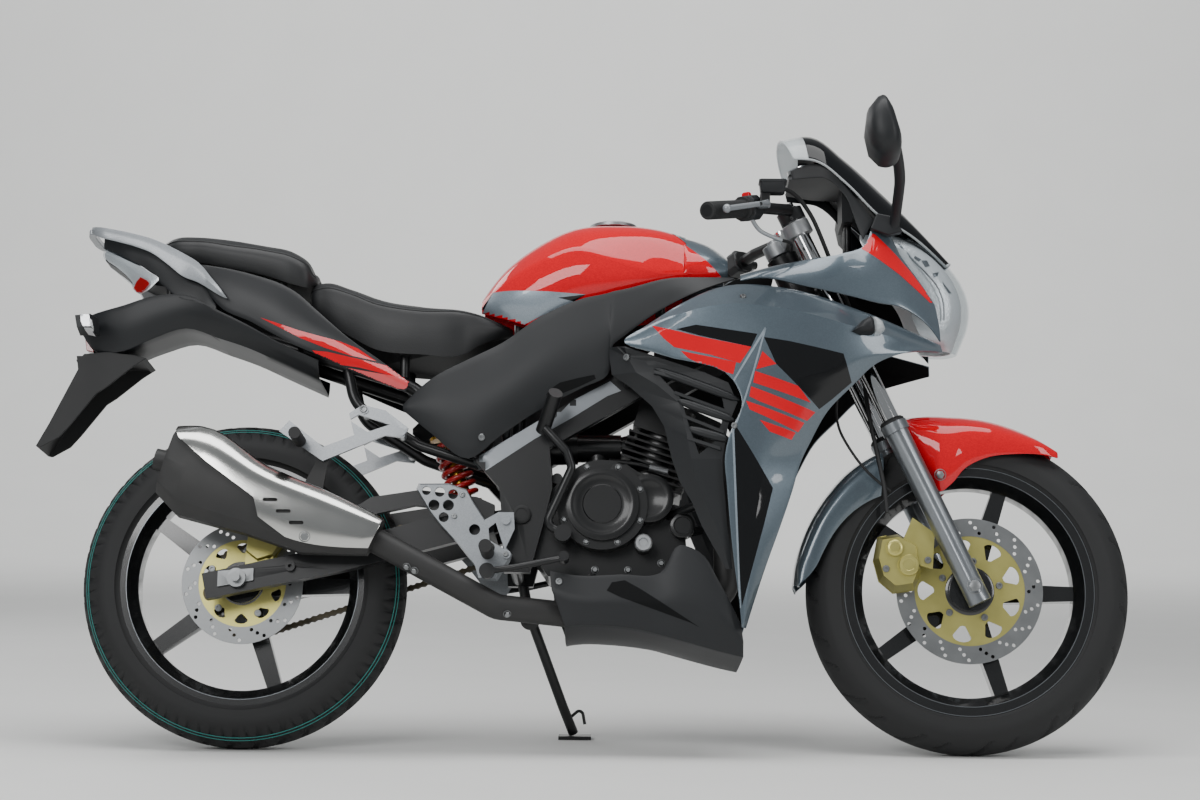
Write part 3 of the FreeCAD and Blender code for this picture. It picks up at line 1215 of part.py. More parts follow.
# Footrests: pierced heel plates, pegs, pedals and the passenger's brackets
def makeFootrests():
    heel = [(321, 462), (325, 472), (379, 473), (412, 462), (424, 440), (448, 404), (496, 344),
            (492, 330), (470, 296), (438, 296), (430, 322), (398, 362), (366, 396), (346, 421)]
    body = bevelledPlate(heel, 144, 152, 0.95)
    for x, z, radius in ((340, 458, 8), (364, 456, 9), (388, 452, 9), (354, 432, 10), (380, 432, 10),
                         (372, 410, 9), (428, 388, 10), (456, 356, 9)):
        body = body.cut(rod(Vector(x, 140, z), Vector(x, 160, z), radius))
    bolts = [rod(Vector(x, 118.2, z), Vector(x, 158, z), 8) for x, z in ((486, 343), (484, 405))]
    tab = plate([(436, 400), (480, 345), (500, 390), (498, 420), (470, 420)], 144, 152)
    riderPlate = body.fuse(bolts + [tab])
    peg = rod(Vector(452, 152.3, 346), Vector(452, 248, 346), 12)
    passenger = rod(Vector(108, 143.1, 548), Vector(108, 232, 548), 11)
    keep("foot_pegs", bothSides(Part.makeCompound([peg, passenger])))
    frame = plate([(220, 616), (262, 606), (304, 574), (296, 556), (262, 560), (150, 512), (70, 566),
                   (88, 586), (150, 538), (206, 560), (196, 600)], 134, 142.8)
    slot = plate([(196, 588), (214, 598), (270, 580), (230, 566)], 130, 146)
    frame = frame.cut(slot)
    bolts = [rod(Vector(224, 97.2, 606), Vector(224, 146, 606), 7),
             rod(Vector(292, 95.2, 566), Vector(292, 146, 566), 7)]
    passengerBracket = frame.fuse(bolts)
    keep("footrest_plates", bothSides(Part.makeCompound([riderPlate, passengerBracket])))
    pedal = bentBar([(452, -162, 312), (500, -168, 318), (560, -170, 330), (590, -170, 336)], 6, 20)
    pad = rod(Vector(590, -150, 336), Vector(590, -196, 336), 9)
    hub = rod(Vector(452, -152.3, 312), Vector(452, -170, 312), 14)
    lever = bentBar([(452, 162, 312), (520, 168, 324), (590, 170, 340)], 6, 20)
    tip = rod(Vector(590, 150, 340), Vector(590, 196, 340), 9)
    root = rod(Vector(452, 152.3, 312), Vector(452, 170, 312), 14)
    keep("foot_levers", Part.makeCompound([pedal.fuse([pad, hub]), lever.fuse([tip, root]),
                                           kickLever()]))


def kickLever():
    arm = bentBar([(587, -160, 381), (556, -162, 398), (602, -166, 500), (592, -168, 530),
                   (552, -170, 572)], 8, 16)
    hub = rod(Vector(587, -148.3, 381), Vector(587, -172, 381), 15)
    rubber = rod(Vector(548, -150, 570), Vector(572, -214, 628), 13)
    return arm.fuse([hub, rubber])


makeFootrests()


def makeRearCaliper():
    far = -d.rear_hub_width / 2 - d.disc_wall - 4
    outline = [(8, 352), (12, 400), (28, 430), (78, 412), (88, 384), (60, 345), (30, 335)]
    outer = bevelledPlate(outline, far, -d.arm_spread + 18, 0.9)
    inner = bevelledPlate(outline, far + 8 + d.disc_wall, far + 26 + d.disc_wall, 0.86)
    bridge = plate([(20, 419), (27, 428), (74, 410), (84, 388), (79, 388), (62, 402)], far - 8, far + 20)
    stay = plate([(52, 340), (60, 350), (60, 322), (20, 312), (8, 318), (8, 354)], far, far - 6)
    boss = rod(Vector(34, far - 3, 319), Vector(34, -d.arm_spread + 16.3, 319), 7)
    keep("rear_caliper", outer.fuse([inner, bridge, stay, boss]))


makeRearCaliper()


def roadHeight(y):
    return y * math.tan(lean)


standFoot = Vector(d.stand_foot_x, d.stand_foot_y, roadHeight(d.stand_foot_y))


def makeSideStand():
    foot = standFoot
    lift = Vector(0, -math.sin(lean), math.cos(lean))
    ankle = foot + lift * 12
    knee = foot + lift * 60 + Vector(-20, -26, 0)
    eye = rod(standPivot - standAxis * 9, standPivot + standAxis * 9, 16)
    hole = rod(standPivot - standAxis * 10, standPivot + standAxis * 10, 6.4)
    leg = bentBar([tuple(standPivot), tuple(knee), tuple(ankle)], d.stand_radius, 30)
    pad = Part.makeBox(62, 40, 7, Vector(-28, -20, 0))
    pad.rotate(Vector(0, 0, 0), Vector(1, 0, 0), d.lean_angle)
    pad.translate(foot)
    shin = knee + (ankle - knee) * 0.5
    tang = bentBar([tuple(shin), (shin.x + 26, shin.y + 10, shin.z + 24),
                    (shin.x + 32, shin.y + 12, shin.z - 8)], 3, 8)
    keep("side_stand", leg.fuse([eye, pad, tang]).cut(hole))


makeSideStand()


# Bosses on the frame and the tail that reach the pieces they carry
# start, end, radius, the piece whose inner face stops the boss
FRAME_BOSSES = [
    ((380, 90, 604), (380, 150, 604), 8, "side_covers"), ((480, 100, 560), (480, 150, 590), 8, "side_covers"),
    ((975, 112, 820), (985, 224, 776), 8, "fairing_sides"),
    ((700, 110, 660), (724, 200, 676), 7, "vent_panels"),
    ((100, 74, 724), (100, 130, 770), 7, "tail_covers"), ((1136, 0, 899), (1136, 150, 890), 7, "nose_cowl"),
    ((1100, 16, 897), (1230, 16, 905), 7, "headlight"),
    ((224, 80, 606), (224, 130, 606), 7, "footrest_plates"),
    ((60, 72, 735), (60, 72, 700), 8, "tail_tray"), ((-150, 56, 800), (-150, 56, 900), 8, "tail_tray"),
    ((760, 102, 715), (760, 102, 850), 9, "fuel_tank"),
    ((500, 104, 560), (500, 80, 800), 9, "fuel_tank"), ((290, 80, 664), (290, 80, 740), 9, "rider_seat"),
    ((60, 70, 740), (60, 70, 880), 9, "pillion_seat"), ((1112, 14, 900), (1112, 14, 1040), 7, "dash_panel")]
DASH_BOSSES = [((1096, 66, 1074), (1096, 66, 1124), 5, "windscreen")]
TAIL_BOSSES = [((-120, 66, 866), (-120, 110, 876), 7, "grab_rails"),
               ((-230, 40, 735), (-230, 40, 720), 7, "rear_mudguard")]
ENGINE_BOSSES = [((640, 60, 320), (640, 168, 290), 8, "belly_pan"),
                 ((760, 60, 420), (852, 200, 440), 8, "vent_panels")]


def bosses(table, gap):
    made = []
    for start, end, radius, stop in table:
        start = Vector(*start)
        end = Vector(*end)
        target = pieces[stop][0].Shape
        clear = target.copy()
        clear.translate((start - end).normalize() * gap)
        cut = rod(start, end, radius).cut(clear).cut(target)
        along = (end - start).normalize()
        near = min(cut.Solids, key=lambda solid: solid.CenterOfMass.distanceToPoint(start))
        reach = max(along.dot(vertex.Point - start) for vertex in near.Vertexes)
        if reach > (end - start).Length - gap / 2:
            raise RuntimeError("the boss at %s misses %s" % (start, stop))
        made += [near, largest(mirrored(near).cut(target))]
    return made


def addBosses(name, shape, table, gap=0.3):
    whole = shape.fuse(bosses(table, gap))
    if name in pieces:
        pieces[name][0].Shape = whole
    else:
        keep(name, whole)


addBosses("main_frame", makeFrame(), FRAME_BOSSES)
addBosses("dash_panel", pieces["dash_panel"][0].Shape, DASH_BOSSES)
addBosses("tail_tray", pieces["tail_tray"][0].Shape, TAIL_BOSSES)
addBosses("engine_case", pieces["engine_case"][0].Shape, ENGINE_BOSSES)


# Park the bike: lean every piece, then set the origin under the middle of its outline box
def park():
    tilt = FreeCAD.Placement(Vector(), FreeCAD.Rotation(Vector(1, 0, 0), -d.lean_angle))
    box = FreeCAD.BoundBox()
    for piece, own in pieces.values():
        piece.Placement = tilt.multiply(own)
    doc.recompute()
    for piece, own in pieces.values():
        box.add(piece.Shape.optimalBoundingBox(False, False))
    shift = Vector(-(box.XMin + box.XMax) / 2, -(box.YMin + box.YMax) / 2, -box.ZMin)
    park = FreeCAD.Placement(shift, FreeCAD.Rotation()).multiply(tilt)
    for piece, own in pieces.values():
        piece.Placement = park.multiply(own)
    doc.recompute()
    for label, point in (("rear axle", rearAxle), ("front axle", frontAxle), ("steering", steerPoint),
                         ("stand pivot", standPivot), ("stand foot", standFoot)):
        print(label, [round(value, 3) for value in park.multVec(point)])
    for label, way in (("wheel axis", Vector(0, 1, 0)), ("steering axis", forkUp),
                       ("stand axis", standAxis)):
        print(label, [round(value, 6) for value in tilt.multVec(way)])
    print("outline", round(box.XLength, 1), round(box.YLength, 1), round(box.ZLength, 1))


park()

for item in doc.Objects:
    if "Invalid" in item.State or "Error" in item.State:
        raise RuntimeError("%s: %s" % (item.Name, item.State))
for name, (piece, own) in pieces.items():
    shape = piece.Shape
    if shape.isNull() or not shape.isValid() or not shape.Solids:
        raise RuntimeError(name + " is not a valid solid")
    shape.exportStep("parts/%s.step" % name)
print(len(pieces), "pieces")
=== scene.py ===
import json
import math
import bpy
import bmesh
from mathutils import Matrix, Vector
from mathutils.bvhtree import BVHTree

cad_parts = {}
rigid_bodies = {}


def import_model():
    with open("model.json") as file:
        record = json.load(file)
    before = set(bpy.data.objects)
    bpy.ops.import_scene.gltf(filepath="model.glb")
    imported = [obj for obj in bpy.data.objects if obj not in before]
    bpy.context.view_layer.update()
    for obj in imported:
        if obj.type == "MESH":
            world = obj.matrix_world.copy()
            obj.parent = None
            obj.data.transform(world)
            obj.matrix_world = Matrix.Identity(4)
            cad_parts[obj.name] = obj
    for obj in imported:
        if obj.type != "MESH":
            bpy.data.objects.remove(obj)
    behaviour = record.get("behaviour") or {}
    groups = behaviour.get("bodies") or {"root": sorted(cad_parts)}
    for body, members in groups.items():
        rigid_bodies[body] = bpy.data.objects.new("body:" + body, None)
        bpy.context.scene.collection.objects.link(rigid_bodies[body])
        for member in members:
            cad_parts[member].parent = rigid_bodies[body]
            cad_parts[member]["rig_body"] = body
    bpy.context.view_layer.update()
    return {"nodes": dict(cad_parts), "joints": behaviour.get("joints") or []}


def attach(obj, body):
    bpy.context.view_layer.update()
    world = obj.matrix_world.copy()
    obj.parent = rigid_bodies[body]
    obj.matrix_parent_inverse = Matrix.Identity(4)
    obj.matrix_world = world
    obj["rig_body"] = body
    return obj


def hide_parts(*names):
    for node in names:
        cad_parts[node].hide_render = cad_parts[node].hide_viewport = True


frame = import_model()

# A faired sport bike, parked on its side stand. Pieces are drawn upright in millimetres,
# x forward from the rear axle, y to the rider's left, z up from the road, then leaned over.
joints = {joint["name"]: joint for joint in frame["joints"]}
lean = {"degrees": 10, "rearAxleHeight": 299.05, "rakeDegrees": 25.5}
tilt = Matrix.Rotation(-math.radians(lean["degrees"]), 4, "X")
rearAxleAt = Vector(joints["rear_wheel_spin"]["pos_m"])
parked = Matrix.Translation(rearAxleAt) @ tilt @ Matrix.Translation((0, 0, -lean["rearAxleHeight"] / 1000))


def place(x, y, z):  # the bike's own millimetres to metres in the parked bike
    return parked @ Vector((x / 1000, y / 1000, z / 1000))


bothSides = ((-1, "Right"), (1, "Left"))
unparked = parked.inverted()
frontAxleAt = Vector(joints["front_wheel_spin"]["pos_m"])
frontAxle = [value * 1000 for value in unparked @ frontAxleAt]
rearAxle = [0, 0, lean["rearAxleHeight"]]
rake = math.radians(lean["rakeDegrees"])


def forkPoint(run, side):  # run mm up the fork from the front axle
    return (frontAxle[0] - run * math.sin(rake), side, frontAxle[2] + run * math.cos(rake))


# camera, light and floor
camera = {"at": (0.0685, -5.3883, 0.572), "focalPx": 2845.4, "centrePx": (620, 440), "rollDegrees": 0.55,
          "imagePx": (1200, 800)}


def makeCamera():
    lens = bpy.data.cameras.new("camera")
    width, height = camera["imagePx"]
    lens.sensor_width = 36
    lens.lens = camera["focalPx"] / width * 36
    lens.shift_x = (width / 2 - camera["centrePx"][0]) / width
    lens.shift_y = (camera["centrePx"][1] - height / 2) / width
    lens.clip_end = 60
    eye = bpy.data.objects.new("camera", lens)
    bpy.context.scene.collection.objects.link(eye)
    eye.matrix_world = (Matrix.Translation(camera["at"]) @ Matrix.Rotation(math.radians(90), 4, "X")
                        @ Matrix.Rotation(math.radians(camera["rollDegrees"]), 4, "Z"))
    bpy.context.scene.camera = eye


def toLinear(hexColour):  # an sRGB hex colour as the linear values that the shaders use
    channels = [int(hexColour[i:i + 2], 16) / 255 for i in (1, 3, 5)]
    return [c / 12.92 if c <= 0.04045 else ((c + 0.055) / 1.055) ** 2.4 for c in channels] + [1.0]


def addNode(tree, kind, settings=None, links=None):
    made = tree.nodes.new(kind)
    for key, value in (settings or {}).items():
        if isinstance(key, int) or key in made.inputs:
            made.inputs[key].default_value = value
        else:
            setattr(made, key, value)
    for key, source in (links or {}).items():
        tree.links.new(source, made.inputs[key])
    return made


def intoMesh(bm, mesh):  # writes a bmesh into a mesh and frees it
    bm.to_mesh(mesh)
    bm.free()
    return mesh


def newMesh(bm, name):
    return intoMesh(bm, bpy.data.meshes.new(name))


def newMaterial(name):  # an empty material, its node tree and the object's own coordinates
    made = bpy.data.materials.new(name)
    made.use_nodes = True
    made.node_tree.nodes.clear()
    spot = addNode(made.node_tree, "ShaderNodeTexCoord")
    return made, made.node_tree, spot.outputs["Object"]


# the floor is level under the bike and sweeps up into a wall far behind it
studio = {"floor": "#e6e6e4", "floorMottle": "#e0e0de", "sky": "#e9edf0", "skyStrength": 0.34,
          "floorStart": -9, "sweepStart": 8.0, "sweepRadius": 3.4, "sweepSteps": 12, "wallTop": 7,
          "halfWidth": 20,
          "lamps": [  # name, place, aim, width, height, watts
              ("topSoftbox", (0.0, -0.6, 3.4), (0, 0, 0.5), 3.6, 1.8, 104),
              ("frontSoftbox", (-1.6, -3.6, 2.2), (0, 0, 0.5), 2.2, 1.3, 70),
              ("noseSoftbox", (3.0, -2.4, 1.6), (0.6, 0, 0.6), 1.0, 1.8, 34),
              ("rearSoftbox", (-2.6, 2.4, 2.2), (0, 0, 0.5), 2.0, 1.4, 30),
              ("wallSoftbox", (0, 6.8, 5.4), (0, 11.2, 1.2), 11.0, 2.2, 420)]}


def makeSky():
    world = bpy.data.worlds.new("studioSky")
    bpy.context.scene.world = world
    world.use_nodes = True
    tree = world.node_tree
    tree.nodes.clear()
    lit = addNode(tree, "ShaderNodeBackground", {"Color": toLinear(studio["sky"]),
                                                 "Strength": studio["skyStrength"]})
    addNode(tree, "ShaderNodeOutputWorld", None, {"Surface": lit.outputs[0]})


def makeLamps():
    for name, at, aim, width, height, watts in studio["lamps"]:
        lamp = bpy.data.lights.new(name, "AREA")
        lamp.shape = "RECTANGLE"
        lamp.size = width
        lamp.size_y = height
        lamp.energy = watts
        box = bpy.data.objects.new(name, lamp)
        bpy.context.scene.collection.objects.link(box)
        box.location = at
        box.rotation_euler = (Vector(aim) - Vector(at)).to_track_quat("-Z", "Y").to_euler()


def makePaper():  # matt studio paper: a slow, faint mottle and no gloss
    paper, tree, spot = newMaterial("matPaper")
    mottle = addNode(tree, "ShaderNodeTexNoise", {"Scale": 3.0, "Detail": 3.0}, {"Vector": spot})
    tone = addNode(tree, "ShaderNodeMix", {"data_type": "RGBA", 6: toLinear(studio["floorMottle"]),
                                           7: toLinear(studio["floor"])}, {0: mottle.outputs["Fac"]})
    face = addNode(tree, "ShaderNodeBsdfPrincipled", {"Roughness": 0.75}, {"Base Color": tone.outputs[2]})
    addNode(tree, "ShaderNodeOutputMaterial", None, {"Surface": face.outputs[0]})
    return paper


def makeFloor():
    start, radius, steps = studio["sweepStart"], studio["sweepRadius"], studio["sweepSteps"]
    line = [(studio["floorStart"], 0), (start, 0)]
    for step in range(1, steps + 1):
        angle = math.pi / 2 * step / steps
        line.append((start + radius * math.sin(angle), radius * (1 - math.cos(angle))))
    line.append((line[-1][0], studio["wallTop"]))
    bm = bmesh.new()
    rows = [[bm.verts.new((side * studio["halfWidth"], y, z)) for side in (-1, 1)] for y, z in line]
    for low, high in zip(rows, rows[1:]):
        bm.faces.new((low[0], low[1], high[1], high[0])).smooth = True
    mesh = newMesh(bm, "studioFloor")
    floor = bpy.data.objects.new("studioFloor", mesh)
    bpy.context.scene.collection.objects.link(floor)
    mesh.materials.append(makePaper())


makeCamera()
makeSky()
makeLamps()
makeFloor()
print("camera, lamps and floor")

# finishes
# Each starts from what the real part is made of. The pattern is noise unless it is named; patternMm is the
# size of its grain or brushing, bumpMm its depth, mottleMm the size of the slow change of tone over the part.
finishes = {
    # two-coat acrylic over ABS: clear lacquer over mica flakes, so sharp highlights on soft colour
    "lacquerRed": {"colour": "#d8061c", "deeper": "#c40518", "roughness": 0.4, "gleam": 0.0, "coat": 1.0,
                   "coatRoughness": 0.03, "pattern": "flake", "patternMm": 1.6, "bumpMm": 0.004,
                   "mottleMm": 180},
    "lacquerGrey": {"colour": "#59666f", "deeper": "#4c5861", "roughness": 0.3, "metallic": 0.45, "coat": 1.0,
                    "coatRoughness": 0.03, "pattern": "flake", "patternMm": 1.5, "bumpMm": 0.006,
                    "mottleMm": 160},
    "lacquerPale": {"colour": "#8d99a3", "deeper": "#84909a", "roughness": 0.32, "metallic": 0.35,
                    "coat": 1.0, "coatRoughness": 0.03, "pattern": "flake", "patternMm": 1.5, "bumpMm": 0.004,
                    "mottleMm": 120},
    # printed vinyl stickers under the lacquer
    "stickerRed": {"colour": "#d8061c", "deeper": "#c9061a", "roughness": 0.4, "gleam": 0.0, "coat": 0.8,
                   "coatRoughness": 0.04, "patternMm": 3, "bumpMm": 0.002, "mottleMm": 90},
    "stickerBlack": {"colour": "#0e0f10", "deeper": "#131416", "roughness": 0.4, "gleam": 0.0, "coat": 0.8,
                     "coatRoughness": 0.04, "patternMm": 3, "bumpMm": 0.002, "mottleMm": 90},
    "stickerPink": {"colour": "#d8474b", "deeper": "#cf3b40", "roughness": 0.3, "coat": 0.8,
                    "coatRoughness": 0.05, "patternMm": 3, "bumpMm": 0.002, "mottleMm": 90},
    # unpainted ABS and polypropylene out of an etched mould: fine grain, wide soft highlights.
    # The real grain is 0.3 mm; it is drawn at 1.8 mm so that it shows at this distance.
    "mouldedAbs": {"colour": "#1b1d20", "deeper": "#141618", "roughness": 0.5, "spread": 0.1, "gleam": 0.4,
                   "patternMm": 1.8, "bumpMm": 0.07, "mottleMm": 140},
    "mouldedTail": {"colour": "#191b1e", "deeper": "#131517", "roughness": 0.42, "spread": 0.1, "gleam": 0.4,
                    "patternMm": 1.8, "bumpMm": 0.05, "mottleMm": 140},
    # unpainted back of a panel: dull black ABS without gloss
    "rawAbs": {"colour": "#111213", "deeper": "#0b0c0d", "roughness": 0.8, "gleam": 0.15, "patternMm": 1.8,
               "bumpMm": 0.05, "mottleMm": 120},
    # calendered vinyl over foam: pebbled grain of 1.5 mm with a dull sheen on the high spots
    "seatVinyl": {"colour": "#1c1d1f", "deeper": "#141516", "roughness": 0.5, "spread": 0.12,
                  "pattern": "pebble", "patternMm": 2.4, "bumpMm": 0.16, "mottleMm": 80},
    # tread compound: matt carbon-black rubber with a faint bloom
    "tyreRubber": {"colour": "#1d1e1f", "deeper": "#141415", "roughness": 0.72, "spread": 0.12,
                   "patternMm": 2.2, "bumpMm": 0.08, "mottleMm": 50},
    "softRubber": {"colour": "#161718", "deeper": "#101011", "roughness": 0.62, "spread": 0.1,
                   "patternMm": 1.5, "bumpMm": 0.05, "mottleMm": 40},
    # powder coat over steel tube and cast alloy
    "powderBlack": {"colour": "#111214", "deeper": "#0c0d0e", "roughness": 0.4, "spread": 0.08, "gleam": 0.35,
                    "coat": 0.2, "coatRoughness": 0.2, "patternMm": 2.0, "bumpMm": 0.04, "mottleMm": 90},
    "glossBlackAlloy": {"colour": "#111213", "deeper": "#0c0d0e", "roughness": 0.24, "spread": 0.05,
                        "coat": 0.8, "coatRoughness": 0.06, "patternMm": 4, "bumpMm": 0.02, "mottleMm": 90},
    # sand-cast and pressure-cast aluminium under black engine paint
    "castBlack": {"colour": "#0c0d0e", "deeper": "#08090a", "roughness": 0.4, "spread": 0.14, "gleam": 0.35,
                  "coat": 0.4, "coatRoughness": 0.14, "patternMm": 1.8, "bumpMm": 0.1, "mottleMm": 45},
    "castAluminium": {"colour": "#a9abad", "deeper": "#929496", "roughness": 0.42, "spread": 0.12,
                      "metallic": 0.9, "patternMm": 1.6, "bumpMm": 0.08, "mottleMm": 40},
    "silverLacquer": {"colour": "#92969a", "deeper": "#84888c", "roughness": 0.4, "spread": 0.06,
                      "metallic": 0.4, "coat": 0.5, "coatRoughness": 0.1, "pattern": "flake",
                      "patternMm": 1.5, "bumpMm": 0.01, "mottleMm": 60},
    "anodisedGrey": {"colour": "#8c9094", "deeper": "#7c8084", "roughness": 0.32, "spread": 0.08,
                     "metallic": 0.85, "pattern": "brushed", "patternMm": 1.6, "bumpMm": 0.01,
                     "mottleMm": 60},
    # zinc-chromate passivated steel and gold anodised alloy: yellow film over bright metal
    "goldChromate": {"colour": "#c6bf78", "deeper": "#bab268", "roughness": 0.36, "spread": 0.12,
                     "metallic": 0.8, "patternMm": 2.5, "bumpMm": 0.02, "mottleMm": 25},
    "goldAnodised": {"colour": "#c79a3c", "deeper": "#b68a30", "roughness": 0.28, "spread": 0.08,
                     "metallic": 0.9, "pattern": "brushed", "patternMm": 1.2, "bumpMm": 0.01, "mottleMm": 30},
    # machined and ground steel, brushing drawn at 1.2 mm instead of 0.1 mm
    "groundSteel": {"colour": "#8f9192", "deeper": "#7f8182", "roughness": 0.42, "spread": 0.12,
                    "metallic": 1.0, "pattern": "brushed", "patternMm": 1.2, "bumpMm": 0.02, "mottleMm": 35},
    "polishedStainless": {"colour": "#c9c9c6", "deeper": "#bdbdba", "roughness": 0.16, "spread": 0.08,
                          "metallic": 1.0, "pattern": "brushed", "patternMm": 2.0, "bumpMm": 0.006,
                          "mottleMm": 90},
    "chromePlate": {"colour": "#d4d5d6", "deeper": "#cbcccd", "roughness": 0.07, "spread": 0.03,
                    "metallic": 1.0, "patternMm": 6, "bumpMm": 0.002, "mottleMm": 60},
    # aluminium vapour-coated under lacquer inside the lamps: bright and slightly diffuse
    "lampReflector": {"colour": "#fafbfc", "deeper": "#eceef0", "roughness": 0.3, "spread": 0.1,
                      "metallic": 0.35, "pattern": "pebble", "patternMm": 5, "bumpMm": 0.5, "mottleMm": 30},
    "oiledChain": {"colour": "#6d6657", "deeper": "#4c473c", "roughness": 0.38, "spread": 0.14,
                   "metallic": 0.9, "patternMm": 3, "bumpMm": 0.03, "mottleMm": 12},
    "springRed": {"colour": "#c21a1c", "deeper": "#a41315", "roughness": 0.3, "coat": 0.6,
                  "coatRoughness": 0.08, "patternMm": 2, "bumpMm": 0.02, "mottleMm": 30},
    "heatBlack": {"colour": "#1a1b1c", "deeper": "#242322", "roughness": 0.56, "spread": 0.12,
                  "patternMm": 2.4, "bumpMm": 0.08, "mottleMm": 60},
    "reflexRed": {"colour": "#b5161a", "deeper": "#8f0f13", "roughness": 0.2, "coat": 1.0,
                  "coatRoughness": 0.03, "pattern": "pebble", "patternMm": 3, "bumpMm": 0.2, "mottleMm": 20},
    "tealInk": {"colour": "#1e7f78", "deeper": "#176a64", "roughness": 0.6, "patternMm": 2, "bumpMm": 0.01,
                "mottleMm": 25},
    "labelWhite": {"colour": "#e2e2df", "deeper": "#d6d6d2", "roughness": 0.4, "patternMm": 2, "bumpMm": 0.01,
                   "mottleMm": 30},
}


def makeFinish(name, spec):
    made, tree, spot = newMaterial(name)
    slow = addNode(tree, "ShaderNodeTexNoise", {"Scale": 1000 / spec["mottleMm"], "Detail": 3.0,
                                                "Roughness": 0.55}, {"Vector": spot})
    fineScale = 1000 / spec["patternMm"]
    pattern = spec.get("pattern", "noise")
    if pattern == "brushed":  # brushing runs along the bike, so the noise is stretched that way
        stretch = addNode(tree, "ShaderNodeMapping", {"Scale": (0.06, 1.0, 1.0)}, {"Vector": spot})
        spot = stretch.outputs["Vector"]
    if pattern in ("pebble", "flake"):
        fine = addNode(tree, "ShaderNodeTexVoronoi", {"Scale": fineScale}, {"Vector": spot})
        height = fine.outputs["Distance"]
    else:
        fine = addNode(tree, "ShaderNodeTexNoise", {"Scale": fineScale, "Detail": 2.0}, {"Vector": spot})
        height = fine.outputs["Fac"]
    tone = addNode(tree, "ShaderNodeMix", {"data_type": "RGBA", 6: toLinear(spec["deeper"]),
                                           7: toLinear(spec["colour"])}, {0: slow.outputs["Fac"]})
    colour = tone.outputs[2]
    if pattern == "flake":  # flakes catch the light by turns: each cell a little lighter or darker
        speck = addNode(tree, "ShaderNodeSeparateColor", None, {0: fine.outputs["Color"]})
        lift = addNode(tree, "ShaderNodeMapRange", {3: 0.92, 4: 1.1}, {0: speck.outputs[0]})
        flaked = addNode(tree, "ShaderNodeVectorMath", {"operation": "SCALE"},
                         {0: colour, 3: lift.outputs[0]})
        colour = flaked.outputs[0]
    spread = spec.get("spread", 0.05)
    rough = addNode(tree, "ShaderNodeMapRange", {3: spec["roughness"] - spread / 2,
                                                 4: spec["roughness"] + spread / 2}, {0: slow.outputs["Fac"]})
    bump = addNode(tree, "ShaderNodeBump", {"Strength": 0.6, "Distance": spec["bumpMm"] / 1000},
                   {"Height": height})
    face = addNode(tree, "ShaderNodeBsdfPrincipled", {
        "Metallic": spec.get("metallic", 0.0), "Coat Weight": spec.get("coat", 0.0),
        "Specular IOR Level": spec.get("gleam", 0.5), "Coat Roughness": spec.get("coatRoughness", 0.1)},
        {"Base Color": colour, "Roughness": rough.outputs[0], "Normal": bump.outputs[0]})
    addNode(tree, "ShaderNodeOutputMaterial", None, {"Surface": face.outputs[0]})
    return made


materials = {name: makeFinish(name, spec) for name, spec in finishes.items()}

# polycarbonate and acrylic, clear or tinted all through: a glossy skin that lets the share "clear" pass
clearPlastics = {
    "clearAcrylic": {"colour": "#f2f5f6", "body": "#dfe4e6", "roughness": 0.05, "clear": 0.5},
    "clearPolycarbonate": {"colour": "#f6f8f9", "body": "#3a4044", "roughness": 0.04, "clear": 0.9},
    "smokedAcrylic": {"colour": "#191b1e", "body": "#191b1e", "roughness": 0.05, "clear": 0.5},
    "redAcrylic": {"colour": "#c01018", "body": "#c01018", "roughness": 0.08, "clear": 0.6},
}


def makeClear(name, spec):
    made, tree, spot = newMaterial(name)
    ripple = addNode(tree, "ShaderNodeTexNoise", {"Scale": 40.0, "Detail": 2.0}, {"Vector": spot})
    haze = addNode(tree, "ShaderNodeMapRange", {3: spec["roughness"], 4: spec["roughness"] + 0.04},
                   {0: ripple.outputs["Fac"]})
    bump = addNode(tree, "ShaderNodeBump", {"Strength": 0.3, "Distance": 0.0001},
                   {"Height": ripple.outputs["Fac"]})
    gloss = addNode(tree, "ShaderNodeBsdfPrincipled", {"Base Color": toLinear(spec["body"]), "IOR": 1.49,
                                                       "Coat Weight": 0.4, "Coat Roughness": 0.03},
                    {"Roughness": haze.outputs[0], "Normal": bump.outputs[0]})
    through = addNode(tree, "ShaderNodeBsdfTransparent", {"Color": toLinear(spec["colour"])})
    mix = addNode(tree, "ShaderNodeMixShader", {0: spec["clear"]},
                  {1: gloss.outputs[0], 2: through.outputs[0]})
    addNode(tree, "ShaderNodeOutputMaterial", None, {"Surface": mix.outputs[0]})
    return made


materials.update({name: makeClear(name, spec) for name, spec in clearPlastics.items()})
print("finishes", len(materials))


# shared ways of making a piece
def joinBike(piece, body, replaces):  # puts a piece into the scene, on its body, and hides the CAD parts that it replaces
    bpy.context.scene.collection.objects.link(piece)
    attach(piece, body)
    if replaces:
        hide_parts(*replaces)
    return piece


def addPiece(name, mesh, body, finish, replaces=(), smooth=35):
    mesh.materials.append(materials[finish])
    mesh.shade_smooth()
    mesh.set_sharp_from_angle(angle=math.radians(smooth))
    return joinBike(bpy.data.objects.new(name, mesh), body, replaces)


def solidPiece(node):  # the dressed copy of a CAD solid
    return bpy.data.objects[node + "Piece"]


def meshFrom(name, points, faces):
    mesh = bpy.data.meshes.new(name)
    mesh.from_pydata([tuple(place(*point)) for point in points], [], faces)
    mesh.update()
    return mesh


tiny = 1e-9  # stands in for a length of zero


def slopeAt(here, back, ahead):  # the direction of a line at a point, more like that of its nearer neighbour
    nearSpan = (here - back).length or tiny
    farSpan = (ahead - here).length or tiny
    blend = (here - back) * (farSpan / nearSpan) + (ahead - here) * (nearSpan / farSpan)
    return blend / (nearSpan + farSpan)


